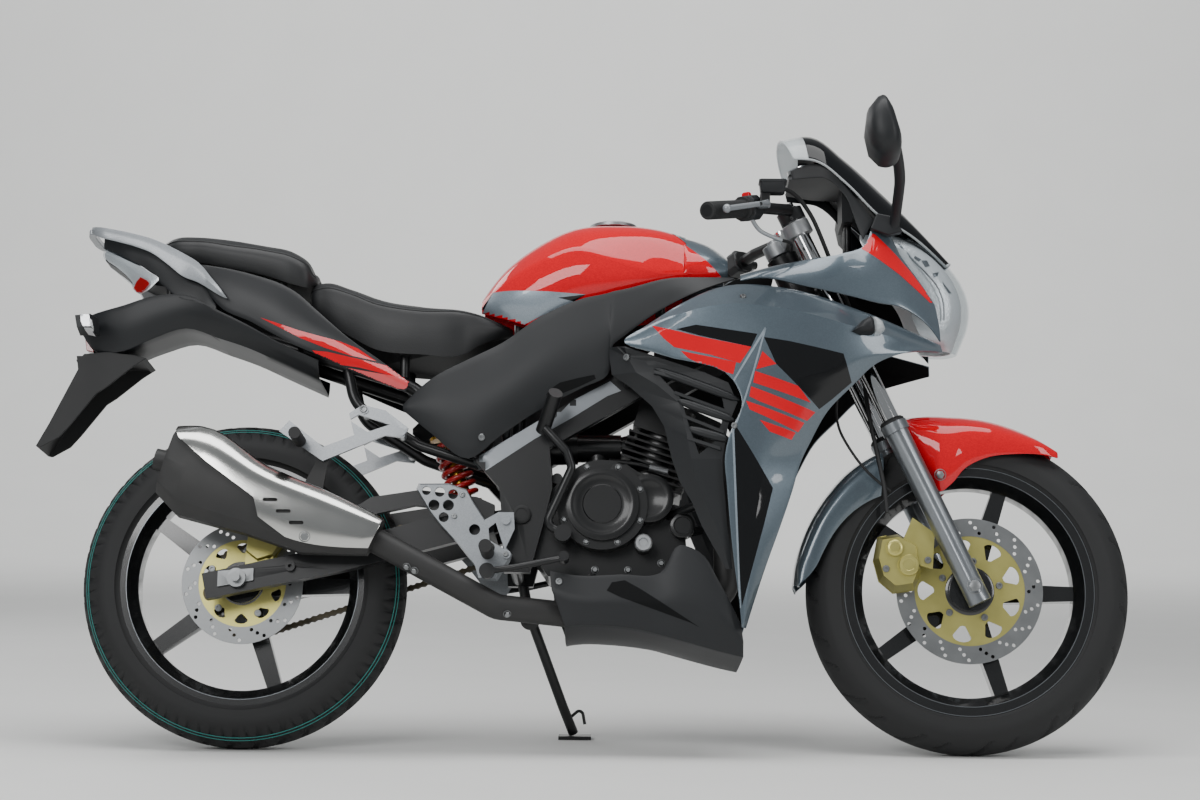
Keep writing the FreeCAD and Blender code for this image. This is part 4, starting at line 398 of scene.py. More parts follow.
def smoothLine(points, steps, corners=()):  # a line through its points, with corners only where named
    points = [Vector(point) for point in points]
    last = len(points) - 1
    slopes = [None if index in (0, last, *corners) else slopeAt(point, points[index - 1], points[index + 1])
              for index, point in enumerate(points)]
    line = []
    for index in range(last):
        start, end = points[index], points[index + 1]
        span = (end - start).length or tiny
        straight = (end - start) / span
        leave, arrive = slopes[index], slopes[index + 1]
        if leave is None and arrive is None:
            leave = arrive = straight
        elif leave is None:
            leave = straight * 1.5 - arrive * 0.5
        elif arrive is None:
            arrive = straight * 1.5 - leave * 0.5
        for step in range(steps):
            t = step / steps
            line.append(start * (2 * t ** 3 - 3 * t ** 2 + 1) + leave * span * (t ** 3 - 2 * t ** 2 + t)
                        + end * (3 * t ** 2 - 2 * t ** 3) + arrive * span * (t ** 3 - t ** 2))
    line.append(points[-1])
    return line


def smoothGrid(rows, steps=4, rowCorners=(), columnCorners=()):
    across = [smoothLine(row, steps, columnCorners) for row in rows]
    columns = [smoothLine(column, steps, rowCorners) for column in zip(*across)]
    return [list(row) for row in zip(*columns)]


def gridMesh(name, grid, closed=False):
    wide = len(grid[0])
    points = [point for row in grid for point in row]
    faces = []
    for r in range(len(grid) - 1):
        for c in range(wide if closed else wide - 1):
            n = (c + 1) % wide
            faces.append((r * wide + c, r * wide + n, (r + 1) * wide + n, (r + 1) * wide + c))
    return meshFrom(name, points, faces)


def mirrorRows(rows):
    return [[(x, -y, z) for x, y, z in row] for row in rows]


def bothEdges(half, middle=()):  # a row across the bike: one half, the middle and the half's mirror image
    return half + list(middle) + [(x, -y, z) for x, y, z in half[::-1]]


def weld(mesh, away=0.00004):
    bm = bmesh.new()
    bm.from_mesh(mesh)
    bmesh.ops.remove_doubles(bm, verts=bm.verts, dist=away)
    bmesh.ops.recalc_face_normals(bm, faces=bm.faces)
    intoMesh(bm, mesh)


def closeEnds(mesh):  # fills the open ends of a tube of rings
    bm = bmesh.new()
    bm.from_mesh(mesh)
    bmesh.ops.holes_fill(bm, edges=[edge for edge in bm.edges if edge.is_boundary], sides=0)
    bmesh.ops.recalc_face_normals(bm, faces=bm.faces)
    return intoMesh(bm, mesh)


def faceOutward(mesh, inside):  # turns an open skin so that its faces look away from a point
    centre = place(*inside)
    bm = bmesh.new()
    bm.from_mesh(mesh)
    total = sum((face.calc_center_median() - centre).dot(face.normal) * face.calc_area() for face in bm.faces)
    if total < 0:
        bmesh.ops.reverse_faces(bm, faces=bm.faces)
    intoMesh(bm, mesh)


def applied(piece):  # bakes the modifiers into the piece's own mesh
    bpy.context.view_layer.update()
    graph = bpy.context.evaluated_depsgraph_get()
    mesh = bpy.data.meshes.new_from_object(piece.evaluated_get(graph))
    piece.modifiers.clear()
    piece.data = mesh
    return piece


def cutThrough(piece, outlines, nearY, farY):  # openings: outlines in x and z, cut across the bike
    bm = bmesh.new()
    for outline in outlines:
        near, far = [[bm.verts.new(place(x, y, z)) for x, z in outline] for y in (nearY, farY)]
        bm.faces.new(near)
        bm.faces.new(far)
        for k in range(len(outline)):
            n = (k + 1) % len(outline)
            bm.faces.new((near[k], near[n], far[n], far[k]))
    bmesh.ops.recalc_face_normals(bm, faces=bm.faces)
    cutter = bpy.data.objects.new("cutter", newMesh(bm, "cutter"))
    bpy.context.scene.collection.objects.link(cutter)
    cut = piece.modifiers.new("cut", "BOOLEAN")
    cut.operation = "DIFFERENCE"
    cut.object = cutter
    applied(piece)
    bpy.data.objects.remove(cutter)


def roundEdges(piece, roundMm, degrees, segments=2, harden=True):  # rounds the edges sharper than an angle
    edge = piece.modifiers.new("edge", "BEVEL")
    edge.width = roundMm / 1000
    edge.segments = segments
    edge.limit_method = "ANGLE"
    edge.angle_limit = math.radians(degrees)
    edge.harden_normals = harden


def thicken(piece, wallMm, roundMm=0.8, lined=False):
    shell = piece.modifiers.new("wall", "SOLIDIFY")
    shell.material_offset = 1 if lined else 0
    shell.thickness = wallMm / 1000
    shell.offset = -1
    roundEdges(piece, roundMm, 50, harden=False)
    return applied(piece)


def skin(name, rows, body, finish, replaces=(), inside=(600, 0, 600), steps=4, wall=3, rowCorners=(),
         columnCorners=(), both=True, smooth=35, lining=None):
    pieces = []
    for side, table in (("Right", mirrorRows(rows)), ("Left", rows)) if both else (("", rows),):
        mesh = gridMesh(name + side, smoothGrid(table, steps, rowCorners, columnCorners))
        weld(mesh)
        faceOutward(mesh, inside)
        piece = addPiece(name + side, mesh, body, finish, replaces, smooth)
        if lining:
            piece.data.materials.append(materials[lining])
        thicken(piece, wall, lined=bool(lining))
        piece.data.set_sharp_from_angle(angle=math.radians(smooth))
        pieces.append(piece)
    return pieces


def dressed(node, finish, roundMm, angle=32):  # a softened copy of a CAD solid
    source = frame["nodes"][node]
    mesh = source.data.copy()
    mesh.materials.clear()
    bm = bmesh.new()
    bm.from_mesh(mesh)
    bmesh.ops.remove_doubles(bm, verts=bm.verts, dist=0.00003)
    bmesh.ops.dissolve_degenerate(bm, edges=bm.edges, dist=0.00002)
    bmesh.ops.dissolve_limit(bm, angle_limit=math.radians(1.0), verts=bm.verts, edges=bm.edges)
    intoMesh(bm, mesh)
    piece = addPiece(node + "Piece", mesh, source["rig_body"], finish, (node,), angle)
    roundEdges(piece, roundMm, angle)
    return piece


def tube(name, points, radiusMm, body, finish, closed=False, sides=12):
    curve = bpy.data.curves.new(name, "CURVE")
    curve.dimensions = "3D"
    curve.bevel_depth = radiusMm / 1000
    curve.bevel_resolution = max(1, sides // 4 - 1)
    curve.use_fill_caps = True
    curve.resolution_u = 8
    line = curve.splines.new("NURBS")
    line.points.add(len(points) - 1)
    for spot, point in zip(line.points, points):
        spot.co = (*place(*point), 1)
    line.order_u = 3
    line.use_endpoint_u = not closed
    line.use_cyclic_u = closed
    curve.materials.append(materials[finish])
    joinBike(bpy.data.objects.new(name, curve), body, ())


def frameAt(at, along):  # a matrix with +Z along a direction in the bike's own axes; a ready matrix stays
    if isinstance(at, Matrix):
        return at
    way = (parked.to_3x3() @ Vector(along)).normalized()
    return Matrix.Translation(place(*at)) @ way.to_track_quat("Z", "Y").to_matrix().to_4x4()


def lathe(bm, at, along, profile, sides=32):  # profile: radius and height along the axis, in mm
    matrix = frameAt(at, along)
    rings = []
    for radius, height in profile:
        if radius <= 0:
            rings.append([bm.verts.new(matrix @ Vector((0, 0, height / 1000)))])
            continue
        rings.append([bm.verts.new(matrix @ Vector((
            radius / 1000 * math.cos(2 * math.pi * k / sides),
            radius / 1000 * math.sin(2 * math.pi * k / sides), height / 1000))) for k in range(sides)])
    for low, high in zip(rings, rings[1:]):
        for k in range(sides):
            n = (k + 1) % sides
            if len(low) == 1 and len(high) == 1:
                continue
            if len(low) == 1:
                bm.faces.new((low[0], high[n], high[k]))
            elif len(high) == 1:
                bm.faces.new((low[k], low[n], high[0]))
            else:
                bm.faces.new((low[k], low[n], high[n], high[k]))


# several turned forms as one piece
def lathed(name, turns, body, finish, sides=32, smooth=40, replaces=()):
    bm = bmesh.new()
    for at, along, profile in turns:
        lathe(bm, at, along, profile, sides)
    bmesh.ops.recalc_face_normals(bm, faces=bm.faces)
    return addPiece(name, newMesh(bm, name), body, finish, replaces, smooth)


# heads of fasteners: a hexagon on its washer, or a round head with a socket
def screwHead(bm, at, along, radius, kind):
    if kind == "hex":
        lathe(bm, at, along, [(radius * 1.35, 0), (radius * 1.35, 1.2), (radius * 1.2, 1.4)], 20)
        lathe(bm, at, along, [(radius, 1.2), (radius, 4.4), (radius * 0.86, 5.2), (0, 5.2)], 6)
    else:
        lathe(bm, at, along, [(radius, -0.5), (radius, 2.6), (radius * 0.86, 3.6), (radius * 0.5, 3.7),
                              (radius * 0.46, 3.5), (radius * 0.44, 1.4), (0, 1.2)], 18)


def addFasteners(name, table, body):
    bm = bmesh.new()
    for at, along, radius, kind in table:
        screwHead(bm, at, along, radius, kind)
    bmesh.ops.recalc_face_normals(bm, faces=bm.faces)
    addPiece(name, newMesh(bm, name), body, "groundSteel", (), 40)


def surfaceTree(*pieces):  # a search tree over the outer faces of some pieces, for what lies on them
    points = []
    faces = []
    for piece in pieces:
        start = len(points)
        points += [piece.matrix_world @ vertex.co for vertex in piece.data.vertices]
        faces += [[start + index for index in face.vertices] for face in piece.data.polygons]
    return BVHTree.FromPolygons(points, faces)


sideways = (parked.to_3x3() @ Vector((0, 1, 0))).normalized()


def onSurface(tree, x, z, side, outside=400):  # a surface's point seen from one side, and its way out
    start = place(x, side * outside, z)
    spot, normal = tree.ray_cast(start, -sideways * side)[:2]
    if spot is None:
        return None, None
    return spot, normal if normal.dot(sideways * side) > 0 else -normal


def standsOn(tree, places, sides=(-1, 1)):  # matrices that stand on a surface at places given in x and z
    found = []
    for x, z in places:
        for side in sides:
            spot, way = onSurface(tree, x, z, side)
            if spot is not None:
                found.append(Matrix.Translation(spot) @ way.to_track_quat("Z", "Y").to_matrix().to_4x4())
    return found


def cutInCells(outline, cellMm):  # an outline in x and z as flat faces no wider than a cell
    flat = bmesh.new()
    face = flat.faces.new([flat.verts.new((x, 0, z)) for x, z in outline])
    bmesh.ops.triangulate(flat, faces=[face])
    for axis, way, reach in ((0, (1, 0, 0), [x for x, z in outline]),
                             (2, (0, 0, 1), [z for x, z in outline])):
        low, high = min(reach), max(reach)
        count = int((high - low) / cellMm)
        for index in range(1, count + 1):
            at = [0, 0, 0]
            at[axis] = low + (high - low) * index / (count + 1)
            geometry = flat.verts[:] + flat.edges[:] + flat.faces[:]
            bmesh.ops.bisect_plane(flat, geom=geometry, plane_co=at, plane_no=way)
    return flat


def tooSteep(spots, steep):  # whether a cell climbs over an edge of the surface instead of lying on it
    return any(abs((unparked @ a).y - (unparked @ b).y) - (a - b).length * steep >= 1e-6
               for a in spots for b in spots)


# a thin sheet on a surface: outlines in x and z; cells that climb more steeply than "steep" are left out
def sticker(name, outlines, tree, side, finish, slot, proud=0.35, cellMm=4, steep=2):
    bm = bmesh.new()
    for outline in outlines:
        flat = cutInCells(outline, cellMm)
        made = {}
        for vertex in flat.verts:
            spot, normal = onSurface(tree, vertex.co.x, vertex.co.z, side)
            if spot is not None:
                made[vertex] = bm.verts.new(spot + normal * proud / 1000)
        for part in flat.faces:
            if all(vertex in made for vertex in part.verts):
                corners = [made[vertex] for vertex in part.verts]
                if not tooSteep([corner.co for corner in corners], steep):
                    bm.faces.new(corners)
        flat.free()
    bm.normal_update()
    flip = [face for face in bm.faces if face.normal.dot(sideways * side) < 0]
    bmesh.ops.reverse_faces(bm, faces=flip)
    addPiece(name, newMesh(bm, name), "chassis", finish, (), 60)


def bothStickers(name, outlines, tree, finish, slot, **more):
    for side, word in bothSides:
        sticker(name + word, outlines, tree, side, finish, slot, **more)


print("helpers ready")


# wheels and tyres
# A tyre is an arc over its crown and a sidewall to its bead; its outer rings carry the tread.
tyres = {
    "rear": {"axle": rearAxle, "radius": 298, "half": 65, "crown": 68, "bead": 219, "body": "rear_wheel",
             "node": "rear_tyre", "grooveMm": 4.2, "pitches": 40},
    "front": {"axle": frontAxle, "radius": 297, "half": 55, "crown": 57, "bead": 219, "body": "front_wheel",
              "node": "front_tyre", "grooveMm": 4.0, "pitches": 14},
    "around": 720, "treadSteps": 34, "treadShare": 0.93, "crownScale": 0.985,
}


def rearTread(turn, across):  # slanted blocks: 1 is full tread, 0 the bottom of a groove
    side = 1 if across > 0 else -1
    off = abs(across)
    phase = (turn + off * 0.55 * side) % 1.0
    if off > 0.97:
        return 1.0
    slant = abs(phase - 0.5) < 0.11 and 0.1 < off
    cross = abs(((turn * 2 - off * 0.9 * side) % 1.0) - 0.5) < 0.1 and off > 0.55
    middle = off < 0.045
    rim = abs(off - 0.5) < 0.03 and 0.2 < phase < 0.8
    return 0.0 if slant or cross or middle or rim else 1.0


def frontTread(turn, across):  # sparse sipes that sweep back from the crown
    side = 1 if across > 0 else -1
    off = abs(across)
    phase = (turn + (0.5 if side > 0 else 0) - off * 0.5) % 1.0
    long = abs(phase - 0.4) < 0.035 + 0.02 * (1 - off) and 0.12 < off < 0.86
    short = abs(phase - 0.8) < 0.03 and 0.4 < off < 0.8
    return 0.0 if long or short else 1.0


def tyreSection(spec):  # radius, distance across, and share of the tread's half width or None on the sidewall
    half, crown, bead = spec["half"], spec["crown"], spec["bead"]
    scale = tyres["crownScale"]
    tread = []
    for step in range(tyres["treadSteps"] + 1):
        across = -1 + 2 * step / tyres["treadSteps"]
        y = half * tyres["treadShare"] * across
        arc = math.sqrt(max(crown ** 2 - y ** 2, 0))
        tread.append((spec["radius"] - crown + arc * scale + crown * (1 - scale), y, across))
    edge = tread[-1][0]
    wall = [(edge - 6, 0.985), (edge - 16, 1.0), (edge - 30, 0.99), (edge - 31, 0.965),
            ((edge + bead) / 2 - 3, 0.93), (bead + 9, 0.81), (bead + 4, 0.8), (bead + 2, 0.76)]
    return ([(r, -half * share, None) for r, share in wall[::-1]] + tread
            + [(r, half * share, None) for r, share in wall])


def makeTyre(name, tread):
    spec = tyres[name]
    section = tyreSection(spec)
    around = tyres["around"]
    matrix = parked @ Matrix.Translation(Vector(spec["axle"]) / 1000)
    bm = bmesh.new()
    rings = []
    for k in range(around):
        angle = 2 * math.pi * k / around
        turn = k / around * spec["pitches"]
        ring = []
        for r, y, across in section:
            if across is not None:
                r -= spec["grooveMm"] * (1 - tread(turn, across)) * min(1, (1.02 - abs(across)) * 6)
            ring.append(bm.verts.new(matrix @ (Vector((r * math.cos(angle), y, r * math.sin(angle))) / 1000)))
        rings.append(ring)
    for k in range(around):
        low, high = rings[k], rings[(k + 1) % around]
        for c in range(len(section) - 1):
            bm.faces.new((low[c], low[c + 1], high[c + 1], high[c]))
        bm.faces.new((low[-1], low[0], high[0], high[-1]))
    bmesh.ops.recalc_face_normals(bm, faces=bm.faces)
    mesh = newMesh(bm, name + "Tyre")
    addPiece(name + "Tyre", mesh, spec["body"], "tyreRubber", (spec["node"],), 42)


makeTyre("rear", rearTread)
makeTyre("front", frontTread)
print("tyres")

# solids that keep their CAD form: node, finish, slot and rounding of the edges in mm
solids = [
    ("front_rim", "glossBlackAlloy", "black_alloy", 1.6),
    ("rear_rim", "glossBlackAlloy", "black_alloy", 1.6),
    ("rear_sprocket", "groundSteel", "satin_steel", 0.3),
    ("rear_axle", "groundSteel", "satin_steel", 0.6),
    ("swingarm", "powderBlack", "black_steel", 1.2),
    ("main_frame", "powderBlack", "black_steel", 1.6),
    ("side_stand", "powderBlack", "black_steel", 0.8),
    ("engine_case", "castBlack", "cast_alloy", 1.4),
    ("cylinder", "castBlack", "cast_alloy", 0.8),
    # the carburettor is drawn black, as it looks in the shade that it lies in: painted shade
    ("carburettor", "castBlack", "cast_alloy", 1.0),
    ("exhaust", "heatBlack", "black_steel", 0.8),
    ("fork_tubes", "chromePlate", "chrome_plate", 0.4),
    ("fork_sliders", "anodisedGrey", "grey_alloy", 0.8),
    ("fork_clamps", "castAluminium", "silver_alloy", 1.6),
    ("handlebars", "powderBlack", "black_steel", 0.6),
    ("front_caliper", "goldChromate", "gold_alloy", 1.2),
    ("rear_caliper", "goldChromate", "gold_alloy", 1.2),
    ("brake_hose", "softRubber", "black_rubber", 0.2),
    ("footrest_plates", "silverLacquer", "silver_alloy", 0.8),
    ("foot_pegs", "softRubber", "silver_alloy", 0.8),
    ("foot_levers", "powderBlack", "black_steel", 0.8),
    ("shock_absorber", "goldAnodised", "gold_shock", 0.6),
    ("dash_panel", "mouldedAbs", "black_plastic", 2.0),
    ("rear_mudguard", "softRubber", "black_plastic", 1.4),
    ("indicators", "mouldedAbs", "black_plastic", 1.4),
    ("fuel_cap", "castAluminium", "black_plastic", 1.2),
]
# openings in them: half width of the cut, and the outline in x and z
openings = {
    "footrest_plates": (260, [(453, 391), (466, 401), (482, 353), (455, 369)]),
    "rear_mudguard": (150, [(-350, 770), (-298, 770), (-302, 727), (-309, 719), (-350, 719)]),
}

for node, finish, slot, roundMm in solids:
    solid = dressed(node, finish, roundMm)
    if node in openings:
        halfWidth, outline = openings[node]
        cutThrough(solid, [outline], -halfWidth, halfWidth)
print("solid parts dressed")
# panels
# A row of points (x, half width, height) runs from a panel's upper edge to its lower edge, and the rows run
# along the bike. Short rows hold only what changes; the code beside their use says what each number is.
panels = {
    "side": [(292, 621, 124, 616, 126, 610, 124), (343, 668, 130, 620, 140, 568, 132),
             (413, 706, 132, 622, 148, 520, 136), (470, 735, 132, 650, 152, 561, 140),
             (542, 785, 138, 700, 156, 610, 144), (620, 817, 149, 740, 158, 651, 148),
             (664, 826, 154, 760, 160, 674, 150), (674, 829, 155, 790, 161, 729, 158),
             (690, 832, 156, 790, 162, 742, 160), (777, 855, 154, 830, 162, 803, 166),
             (832, 858, 150, 845, 158, 830, 166), (893, 859, 144, 857, 148, 855, 152)],
    "fairing": [
        [(780, 188, 790), (880, 170, 838), (993, 160, 836), (1120, 150, 800), (1276, 98, 746)],
        [(724, 198, 750), (877, 214, 794), (985, 215, 786), (1110, 200, 758), (1278, 112, 730)],
        [(694, 201, 728), (870, 213, 745), (980, 217, 730), (1095, 202, 718), (1211, 165, 719)],
        [(762, 204, 701), (880, 214, 692), (970, 217, 680), (1060, 204, 676), (1150, 178, 694)],
        [(890, 214, 654), (925, 215, 650), (968, 212, 645), (1035, 200, 640), (1106, 180, 652)],
        [(906, 214, 616), (930, 213, 612), (965, 208, 606), (1015, 195, 602), (1062, 176, 606)],
        [(884, 209, 556), (915, 209, 556), (950, 204, 555), (990, 190, 552), (1032, 172, 552)],
        [(876, 204, 516), (905, 204, 516), (938, 200, 516), (972, 186, 516), (1014, 170, 514)],
        [(880, 198, 464), (904, 198, 464), (932, 194, 463), (962, 182, 462), (999, 167, 462)],
        [(886, 192, 396), (904, 192, 396), (926, 189, 396), (950, 178, 396), (977, 164, 396)],
        [(894, 185, 326), (906, 185, 326), (920, 182, 326), (935, 174, 326), (952, 161, 326)],
        [(903, 178, 262), (909, 178, 262), (916, 176, 262), (923, 170, 262), (931, 159, 262)],
        [(908, 172, 214), (909, 172, 214), (911, 171, 213), (913, 168, 213), (916, 163, 213)]],
    "vent": [
        [(666, 158, 722), (680, 172, 722), (696, 186, 720)],
        [(668, 160, 700), (700, 180, 701), (758, 192, 698)],
        [(672, 162, 672), (716, 186, 672), (836, 198, 672)],
        [(705, 166, 649), (752, 190, 650), (882, 202, 652)],
        [(745, 172, 613), (793, 194, 616), (898, 202, 616)],
        [(767, 175, 576), (804, 196, 576), (882, 198, 576)],
        [(782, 176, 514), (816, 194, 514), (872, 193, 514)],
        [(796, 176, 474), (826, 190, 474), (874, 187, 474)],
        [(818, 176, 438), (842, 187, 438), (878, 184, 438)],
        [(836, 175, 395), (860, 184, 395), (881, 181, 395)],
        [(854, 174, 363), (872, 181, 363), (886, 178, 363)],
        [(880, 172, 318), (886, 174, 318), (891, 173, 318)]],
    "belly": [
        (564, 315, 148, 568, 280, 156, 592, 216, 150, 200),
        (612, 307, 151, 610, 265, 161, 608, 217, 152, 203),
        (690, 309, 155, 690, 262, 165, 680, 216, 156, 203),
        (762, 312, 158, 764, 258, 166, 740, 207, 156, 197),
        (797, 362, 162, 800, 262, 168, 790, 194, 156, 189),
        (832, 350, 164, 840, 250, 168, 834, 182, 154, 181),
        (869, 295, 163, 878, 226, 165, 872, 172, 152, 171),
        (908, 220, 158, 912, 190, 156, 912, 163, 148, 162)],
    "nose": [
        [(905, 160, 851), (905, 150, 861), (905, 138, 866)],
        [(941, 158, 857), (945, 147, 872), (950, 134, 880)],
        [(1020, 156, 843), (1022, 146, 878), (1025, 132, 897)],
        [(1085, 150, 831), (1088, 141, 878), (1092, 130, 910)],
        [(1130, 142, 822), (1132, 132, 880), (1134, 112, 929)],
        [(1160, 137, 816), (1162, 124, 890), (1158, 100, 972)],
        [(1196, 130, 812), (1192, 114, 885), (1181, 94, 958)],
        [(1225, 122, 800), (1218, 106, 862), (1205, 90, 916)],
        [(1255, 112, 778), (1250, 98, 825), (1240, 86, 868)],
        [(1276, 102, 752), (1274, 92, 788), (1268, 82, 826)]],
    "tail": [
        [(-90, 92, 887), (-92, 94, 882), (-94, 94, 874)],
        [(-34, 104, 876), (-40, 108, 850), (-46, 106, 800)],
        [(21, 110, 861), (14, 116, 820), (6, 112, 776)],
        [(59, 112, 848), (56, 120, 795), (50, 116, 752)],
        [(89, 112, 832), (92, 121, 775), (92, 118, 730)],
        [(126, 114, 800), (132, 122, 752), (136, 118, 712)],
        [(190, 122, 744), (194, 125, 712), (198, 119, 684)],
        [(260, 128, 694), (262, 128, 676), (262, 121, 657)],
        [(303, 130, 662), (300, 128, 653), (296, 123, 644)]],
    "band": [
        (-281, 951, 36, 928, 36), (-242, 943, 56, 906, 56), (-205, 929, 66, 886, 66),
        (-168, 908, 74, 856, 78), (-130, 880, 82, 824, 90), (-92, 864, 90, 814, 96),
        (-70, 828, 98, 802, 101), (-58, 808, 102, 797, 102)],
    "arm": [
        (-322, 792, 34, 780, 34), (-284, 800, 62, 729, 48), (-233, 812, 76, 728, 62),
        (-178, 828, 84, 750, 70), (-116, 829, 92, 769, 76), (-54, 798, 104, 750, 80),
        (2, 770, 108, 731, 84), (60, 737, 112, 705, 86), (134, 704, 112, 672, 86)],
}

sideRows = [[(x, upHalf, up), (x, midHalf, mid), (x, lowHalf, low)]
            for x, up, upHalf, mid, midHalf, low, lowHalf in panels["side"]]
sidePanels = skin("sideCover", sideRows, "chassis", "mouldedAbs", ("side_covers",),
                  (560, 0, 700), 5)
fairingPanels = skin("fairingSide", panels["fairing"], "chassis", "lacquerGrey",
                     ("fairing_sides",), (960, 0, 640), 6, rowCorners=(1,), lining="rawAbs")
ventPanels = [dressed("vent_panels", "mouldedAbs", 1.6, 24)]
nosePanels = skin("noseCowl", panels["nose"], "chassis", "lacquerGrey", ("nose_cowl",),
                  (1080, 0, 840), 5, lining="rawAbs")
tailPanels = skin("tailCover", panels["tail"], "chassis", "mouldedTail", ("tail_covers",),
                  (100, 0, 780), 5)
bellyRows = [bothEdges([(topX, topHalf, top), (sideX, sideHalf, sideZ), (lowX, lowHalf, low),
                        (lowX, 60, floor)])
             for topX, top, topHalf, sideX, sideZ, sideHalf, lowX, low, lowHalf, floor in panels["belly"]]
bellyPan = skin("bellyPan", bellyRows, "chassis", "mouldedAbs", ("belly_pan",),
                (740, 0, 380), 5, columnCorners=(1, 2, 5, 6), both=False)
armRows = [bothEdges([(x, topHalf, top), (x, (topHalf + lowHalf) / 2 + 5, (top + low) / 2),
                      (x, lowHalf, low)])
           for x, top, topHalf, low, lowHalf in panels["arm"]]
skin("tailArm", armRows, "chassis", "mouldedTail", ("tail_tray",), (-60, 0, 790), 4,
     columnCorners=(2, 3), both=False, lining="rawAbs")
bandRows = [[(x, topHalf, top), (x, (topHalf + lowHalf) / 2 + 1, (top + low) / 2), (x, lowHalf, low)]
            for x, top, topHalf, low, lowHalf in panels["band"]]
skin("tailBand", bandRows, "chassis", "mouldedTail", ("tail_tray",), (-150, 0, 850), 4)
print("panels")


# fuel tank and its front cover: sections across the bike, from the right edge over the top to the left
tanks = {
    "tank": [(429, 50, 807, 62, 815, 57, 826, 40, 834, 839), (470, 88, 790, 104, 817, 99, 853, 68, 880, 893),
             (530, 110, 772, 130, 838, 125, 886, 90, 920, 942),
             (600, 122, 795, 145, 866, 141, 910, 98, 953, 974),
             (680, 128, 815, 147, 856, 149, 888, 106, 955, 982),
             (760, 125, 835, 141, 852, 146, 866, 112, 945, 972),
             (806, 118, 845, 131, 857, 136, 866, 106, 934, 957)],
    "cover": [(806.5, 118, 849, 131, 860, 136, 867, 106, 933, 955),
              (850, 112, 855, 124, 872, 124, 890, 88, 928, 940),
              (884, 92, 862, 106, 882, 98, 898, 70, 912, 920)],
}


def tankRow(x, floorHalf, floor, wide, wideZ, shoulder, shoulderZ, crown, crownZ, top):
    right = [(x, -floorHalf, floor), (x, -wide, wideZ), (x, -shoulder, shoulderZ), (x, -crown, crownZ)]
    return bothEdges(right, [(x, 0, top)])


fuelTank = skin("fuelTank", [tankRow(*row) for row in tanks["tank"]], "chassis", "lacquerRed",
                ("fuel_tank",), (620, 0, 850), 7, 3, both=False, columnCorners=(2, 6), smooth=50)
tankCover = skin("tankCover", [tankRow(*row) for row in tanks["cover"]], "chassis", "lacquerGrey",
                 ("tank_cover",), (845, 0, 870), 6, 3, both=False)


# front mudguard with its ears over the fork legs, and the grey flap behind the tyre
guards = {
    "mudguard": [(1206, 622, 60, 603), (1232, 626, 64, 552), (1258, 628, 67, 508), (1276, 628, 69, 478),
                 (1296, 627, 69, 492), (1322, 626, 68, 522), (1358, 622, 67, 541), (1415, 607, 64, 550),
                 (1465, 584, 58, 550), (1496, 562, 46, 546)],
    "flap": [(1166, 556, 1168, 470), (1138, 540, 1142, 458), (1108, 517, 1112, 436), (1074, 478, 1084, 404),
             (1046, 434, 1062, 366), (1026, 388, 1048, 338), (1013, 340, 1030, 316), (1010, 308, 1014, 304)],
}


def makeMudguard():
    rows = []
    for x, top, half, low in guards["mudguard"]:
        drop = min(26, (top - low) / 2)
        rows.append(bothEdges([(x, half + 3, low), (x, half + 2, top - drop),
                               (x, half * 0.55, top - drop / 5)], [(x, 0, top + 0.5)]))
    skin("frontMudguard", rows, "front_end", "lacquerRed", ("front_mudguard",), frontAxle, 6, 3,
         both=False)
    rows = [bothEdges([(insideX, 65, insideZ), (x + 5, 61, z - 6), (x, 32, z)])
            for x, z, insideX, insideZ in guards["flap"]]
    skin("mudguardFlap", rows, "front_end", "lacquerGrey", ("mudguard_flap",), frontAxle, 5, 3,
         both=False)


makeMudguard()


# windscreen and headlight; each lamp row is height, tip, flank and its half width, side and its half width
glazing = {
    "screen": [(1306, 922, 1296, 914, 16), (1240, 990, 1232, 958, 62), (1172, 1056, 1162, 992, 99),
               (1104, 1116, 1102, 1048, 114), (1040, 1160, 1046, 1088, 120), (982, 1150, 1006, 1094, 114)],
    "lamp": [(746, 1316, 1311, 14, 1294, 30), (768, 1326, 1316, 34, 1284, 60),
             (797, 1337, 1324, 42, 1270, 70), (840, 1340, 1326, 46, 1254, 76),
             (880, 1326, 1312, 50, 1228, 80), (920, 1292, 1280, 54, 1192, 80),
             (950, 1252, 1242, 54, 1172, 78), (968, 1224, 1214, 46, 1172, 64)],
    "rimMm": 2.2, "lipRows": 5,
    "bezelMm": (10, 12, 14, 16, 16, 14, 12, 8),
    "ribs": [[(1204, 62, 950), (1230, 74, 912), (1254, 76, 886), (1272, 76, 864), (1284, 72, 836),
              (1286, 66, 800)],
             [(1262, 44, 896), (1284, 46, 868), (1296, 46, 838), (1302, 44, 806)]],
    "ribMm": 1.5,
    "bezelMiddle": 852, "bezelShare": 0.965, "backMm": 40,
    "reflectors": [((1262, 0, 842), (0.93, 0, 0.16), 1), ((1214, 0, 912), (0.7, 0, 0.7), 0.6),
                   ((1296, 0, 786), (0.93, 0, 0.16), 0.6)],
    "bowl": [(0, -22), (14, -20), (30, -12), (42, 2), (46, 14), (48, 14), (44, 1), (31, -14), (0, -25)],
    "bulb": [(0, 12), (6, 10), (8, 4), (8, -10), (0, -12)],
}


